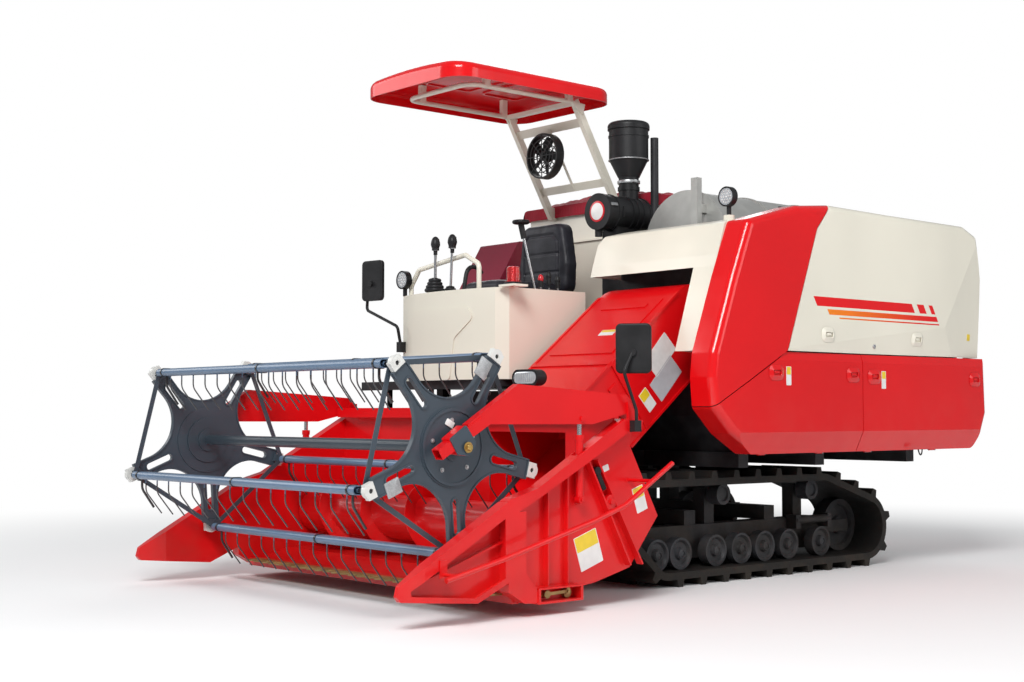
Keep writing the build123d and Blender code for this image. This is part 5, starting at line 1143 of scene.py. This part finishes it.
def cushion(name, node, cap, side):
    """Swollen copy of a soft node, crowned on one side."""
    source = frame["nodes"][node]
    pad = bpy.data.objects.new(name, source.data.copy())
    bpy.context.collection.objects.link(pad)
    low, high = (Vector(corner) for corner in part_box(node))
    middle = (low + high) / 2
    edit(pad, "faces", lambda face: True, ("remove_doubles", {"threshold": 0.00001}),
         ("normals_make_consistent", {"inside": False}))
    for vert in pad.data.vertices:
        vert.co = middle + (vert.co - middle) * PAD_SHRINK
    modified(pad, "REMESH", mode="VOXEL", voxel_size=PAD_VOXEL)
    rest = [vert.co.copy() for vert in pad.data.vertices]
    swell(pad, rest, cap)
    half = (high - low) / 2
    for vert in pad.data.vertices:
        across = [(vert.co[k] - middle[k]) / half[k] for k in range(3)]
        if vert.normal.dot(side) > 0.3:
            lift = max(0.0, 1 - across[0] ** 2)
            vert.co += side * PAD_CROWN * lift
    modified(pad, "SUBSURF", levels=1, render_levels=1)
    return pad


def swell(pad, rest, cap):
    """Blows a pad up as cloth and keeps each point within a cap."""
    alone(pad)
    bpy.ops.object.modifier_add(type="CLOTH")
    cloth = pad.modifiers[-1]
    cloth.settings.use_pressure = True
    cloth.settings.uniform_pressure_force = PRESSURE
    cloth.settings.effector_weights.gravity = 0.0
    scene = bpy.context.scene
    for step in range(1, SWELL_FRAMES + 1):
        scene.frame_set(step)
    graph = bpy.context.evaluated_depsgraph_get()
    shape = pad.evaluated_get(graph).to_mesh()
    moved = [vert.co.copy() for vert in shape.vertices]
    pad.evaluated_get(graph).to_mesh_clear()
    pad.modifiers.remove(cloth)
    scene.frame_set(1)
    for vert, before, after in zip(pad.data.vertices, rest, moved):
        shift = after - before
        if shift.length > cap:
            shift *= cap / shift.length
        vert.co = before + shift


SEAT_SIDE, SEAT_NEAR, SEAT_FAR = 0.085, 0.075, 0.060     # rim channels from the pad's edges
SEAT_RUNS = (0.19, 0.30, 0.41)      # cross channels, from the pad's front edge
BACK_FOOT, BACK_TOP, BACK_CHAMFER = 0.06, 0.085, 0.04
BACK_RUNS = (0.15, 0.26)            # cross channels, from the pad's lower edge
RIM_WIDTH, RUN = 0.014, (0.006, 0.012)      # width of a rim, depth and width of a run


def upholstered(name, node, cap, side, flatten, rim, runs, rim_depth):
    """Pad over a soft node, with its rim and cross channels."""
    pad = cushion(name, node, cap, side)
    pressed(pad, flatten, rim, rim_depth, RIM_WIDTH, side)
    for run in runs:
        pressed(pad, flatten, run, *RUN, side)
    return pad


class HARVESTER_OT_seat(Operator):
    """Makes the driver's padded seat with its stitched channels"""

    bl_idname = "harvester.seat"
    bl_label = "Seat"

    def execute(self, context):
        low, high = (Vector(corner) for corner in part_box("seat_cushion"))
        left, right = low.x + SEAT_SIDE, high.x - SEAT_SIDE
        near, far = low.y + SEAT_NEAR, high.y - SEAT_FAR
        rim = [(left, far), (left, near), (right, near), (right, far)]
        runs = [[(left, low.y + reach), (right, low.y + reach)] for reach in SEAT_RUNS]
        base = upholstered("seat_pad", "seat_cushion", 0.010, Vector(TOP),
                           lambda p: (p.x, p.y), rim, runs, 0.009)
        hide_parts("seat_cushion")
        settle(base, "vinyl", "root", 80)
        low, high = (Vector(corner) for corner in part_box("seat_back"))
        left, right = low.x + SEAT_SIDE, high.x - SEAT_SIDE
        foot, top = low.z + BACK_FOOT, high.z - BACK_TOP
        rim = [(left, foot), (left, top - BACK_CHAMFER), (left + BACK_CHAMFER, top),
               (right - BACK_CHAMFER, top), (right, top - BACK_CHAMFER), (right, foot)]
        runs = [[(left, low.z + reach), (right, low.z + reach)] for reach in BACK_RUNS]
        back = upholstered("seat_back_pad", "seat_back", 0.008, Vector(FRONT),
                           lambda p: (p.x, p.z), rim, runs, 0.008)
        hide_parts("seat_back")
        settle(back, "vinyl", "root", 80)
        return {"FINISHED"}


# ------------------------------------------------------------------ tank sheet
SHEET_SKIRT = 0.075         # drop of the sheet's edge below the rim
SHEET_OFF = 0.014           # the skirt hangs clear of the tank's rim
SHEET_CROWN, SHEET_SHOULDER = 0.052, 0.09   # its height, and how soon it is reached
HOOP_WAVES, HOOP_RISE = 4, 0.007
# height of each fold and its waves along X and Y
FOLDS = [(0.0035, 41, 17), (0.0025, 23, -63), (0.002, 97, 11)]
FLARE, FLARE_WAVES = 0.004, 55


class HARVESTER_OT_tank_sheet(Operator):
    """Drapes the coated sheet over the grain tank's hoops"""

    bl_idname = "harvester.tank_sheet"
    bl_label = "Tank sheet"

    def execute(self, context):
        low, high = (Vector(corner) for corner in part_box("tank_cover"))
        middle, half = (low + high) / 2, (high - low) / 2
        wide, long = half.x + SHEET_SKIRT, half.y + SHEET_SKIRT
        sheet = add("grid", "tank_sheet", (0, 0, 0), x_subdivisions=150, y_subdivisions=150,
                    size=2)
        for vert in sheet.data.vertices:
            across, along = vert.co.x * wide, vert.co.y * long
            over_x, over_y = max(0, abs(across) - half.x), max(0, abs(along) - half.y)
            x = math.copysign(min(abs(across), half.x), across)
            y = math.copysign(min(abs(along), half.y), along)
            inside = min(1.0, (half.x - abs(x)) / SHEET_SHOULDER,
                         (half.y - abs(y)) / SHEET_SHOULDER)
            crown = SHEET_CROWN * max(0.0, 1 - (abs(x) / half.x) ** 2.6)
            hoops = HOOP_RISE * math.cos(y / half.y * math.pi * HOOP_WAVES)
            folds = sum(rise * math.sin(x * a + y * b) for rise, a, b in FOLDS)
            drop = max(over_x, over_y)
            z = low.z + 0.004 + inside * (crown + hoops + folds) - drop
            wave = 0.6 + 0.4 * math.sin((x + y) * FLARE_WAVES)
            flare = FLARE * wave * min(1.0, drop / 0.02)
            push_x = (SHEET_OFF + flare + 0.35 * min(over_x, over_y)) if over_x else 0.0
            push_y = (SHEET_OFF + flare) if over_y else 0.0
            vert.co = (middle.x + x + math.copysign(push_x, across),
                       middle.y + y + math.copysign(push_y, along), z)
        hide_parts("tank_cover")
        settle(sheet, "tarp", "root", 60)
        return {"FINISHED"}


# ------------------------------------------------------------------ stage
CAMERA_PLACE = (6.20, -5.91, 0.925)
CAMERA_TURN = (92.725, 0.0, 49.21)      # degrees
SENSOR = 36.0
# name, place, the point it faces, side, share of the key or the fill lamp's power
LAMPS = [
    ("key_lamp", (5.5, -7.5, 8.0), (0, -0.3, 1.2), 4.0, (1.0, 0.0)),
    ("fill_lamp", (9.0, 3.5, 4.5), (0, 0.4, 1.0), 5.0, (0.0, 1.0)),
    ("back_lamp", (-6.5, 5.5, 6.5), (0, 0, 1.4), 5.0, (0.0, 1.0)),
    ("side_lamp", (-7.5, -5.0, 5.0), (0, -0.6, 1.2), 4.0, (0.0, 0.8)),
]
SKY_COLOUR, SKY_STRENGTH = (0.94, 0.97, 1.0, 1.0), 0.30
FLOOR_FADE = (3.2, 7.5)     # the floor turns plain white between these distances


def lamp(name, place, aim, watts, size):
    """Square soft lamp that faces a point."""
    bpy.ops.object.light_add(type="AREA", location=place)
    light = bpy.context.object
    light.name = name
    light.data.energy = watts
    light.data.size = size
    toward = Vector(aim) - Vector(place)
    light.rotation_euler = toward.to_track_quat("-Z", "Y").to_euler()


class HARVESTER_OT_stage(Operator):
    """Adds the camera, the pale floor and the studio lamps"""

    bl_idname = "harvester.stage"
    bl_label = "Stage"

    def execute(self, context):
        stage = context.scene.harvester_stage
        bpy.ops.object.camera_add(
            location=CAMERA_PLACE, rotation=[math.radians(angle) for angle in CAMERA_TURN])
        camera = context.object
        camera.data.lens = stage.lens
        camera.data.sensor_width = SENSOR
        camera.data.clip_end = 400.0
        context.scene.camera = camera
        bpy.ops.object.select_all(action="DESELECT")
        bpy.ops.mesh.primitive_plane_add(size=stage.floor_size, location=(0, 0, 0))
        floor = context.object
        floor.name = "studio_floor"
        floor.data.materials.append(self.floor_finish())
        for name, place, aim, size, (key, fill) in LAMPS:
            watts = key * stage.key_watts + fill * stage.fill_watts
            lamp(name, place, aim, watts, size)
        self.sky(context.scene)
        context.scene.view_settings.view_transform = "Standard"
        return {"FINISHED"}

    def floor_finish(self):
        finish = Finish("pale_floor", (0.93, 0.93, 0.925), 0.8, specular=0.2)
        x, y, _ = finish.axes()
        reach = finish.maths("SQRT", x * x + y * y)
        grain = finish.noise(3.0, 3.0) * 0.01 + 0.925
        shade = finish.node("ShaderNodeCombineColor", values=[grain, grain, grain])
        finish.set("Base Color", shade)
        glow = finish.node("ShaderNodeEmission", values={"Color": (1.0, 1.0, 1.0)})
        path = finish.node("ShaderNodeLightPath", out="Is Camera Ray")
        far = reach.rise(*FLOOR_FADE)
        output = finish.tree.nodes["Material Output"]
        mix = finish.node("ShaderNodeMixShader", values=[
            path * far, Wire(finish, finish.shader.outputs[0]), glow])
        finish.tree.links.new(mix.socket, output.inputs["Surface"])
        return finish.material

    def sky(self, scene):
        world = bpy.data.worlds.new("studio_sky")
        scene.world = world
        world.use_nodes = True
        tree = world.node_tree
        ground = tree.nodes["Background"]
        ground.inputs["Color"].default_value = SKY_COLOUR
        ground.inputs["Strength"].default_value = SKY_STRENGTH
        white = tree.nodes.new("ShaderNodeBackground")
        white.inputs["Color"].default_value = (1.0, 1.0, 1.0, 1.0)
        white.inputs["Strength"].default_value = 1.0
        path = tree.nodes.new("ShaderNodeLightPath")
        mix = tree.nodes.new("ShaderNodeMixShader")
        tree.links.new(path.outputs["Is Camera Ray"], mix.inputs[0])
        tree.links.new(ground.outputs[0], mix.inputs[1])
        tree.links.new(white.outputs[0], mix.inputs[2])
        tree.links.new(mix.outputs[0], tree.nodes["World Output"].inputs["Surface"])


# ------------------------------------------------------------------ add-on
OPERATORS = [
    HARVESTER_OT_finishes, HARVESTER_OT_seat, HARVESTER_OT_tank_sheet, HARVESTER_OT_plates,
    HARVESTER_OT_cover_fittings, HARVESTER_OT_lamps, HARVESTER_OT_controls,
    HARVESTER_OT_reel_trim, HARVESTER_OT_roller_caps, HARVESTER_OT_air_trim,
    HARVESTER_OT_stage,
]


class HARVESTER_PT_panel(Panel):
    """Lists the machine's pieces in the order they are made"""

    bl_idname = "HARVESTER_PT_panel"
    bl_label = "Harvester"
    bl_space_type = "VIEW_3D"
    bl_region_type = "UI"
    bl_category = "Harvester"

    def draw(self, context):
        for group in ("harvester_paint", "harvester_stage"):
            settings = getattr(context.scene, group)
            for name in settings.__annotations__:
                self.layout.prop(settings, name)
        for operator in OPERATORS:
            self.layout.operator(operator.bl_idname)


CLASSES = [HarvesterPaint, HarvesterStage, *OPERATORS, HARVESTER_PT_panel]


def register():
    for item in CLASSES:
        bpy.utils.register_class(item)
    bpy.types.Scene.harvester_paint = PointerProperty(type=HarvesterPaint)
    bpy.types.Scene.harvester_stage = PointerProperty(type=HarvesterStage)


def unregister():
    del bpy.types.Scene.harvester_stage
    del bpy.types.Scene.harvester_paint
    for item in reversed(CLASSES):
        bpy.utils.unregister_class(item)


def main():
    register()
    bpy.ops.object.select_all(action="DESELECT")
    for operator in OPERATORS:
        area, name = operator.bl_idname.split(".")
        getattr(getattr(bpy.ops, area), name)()


if __name__ == "__main__":
    main()
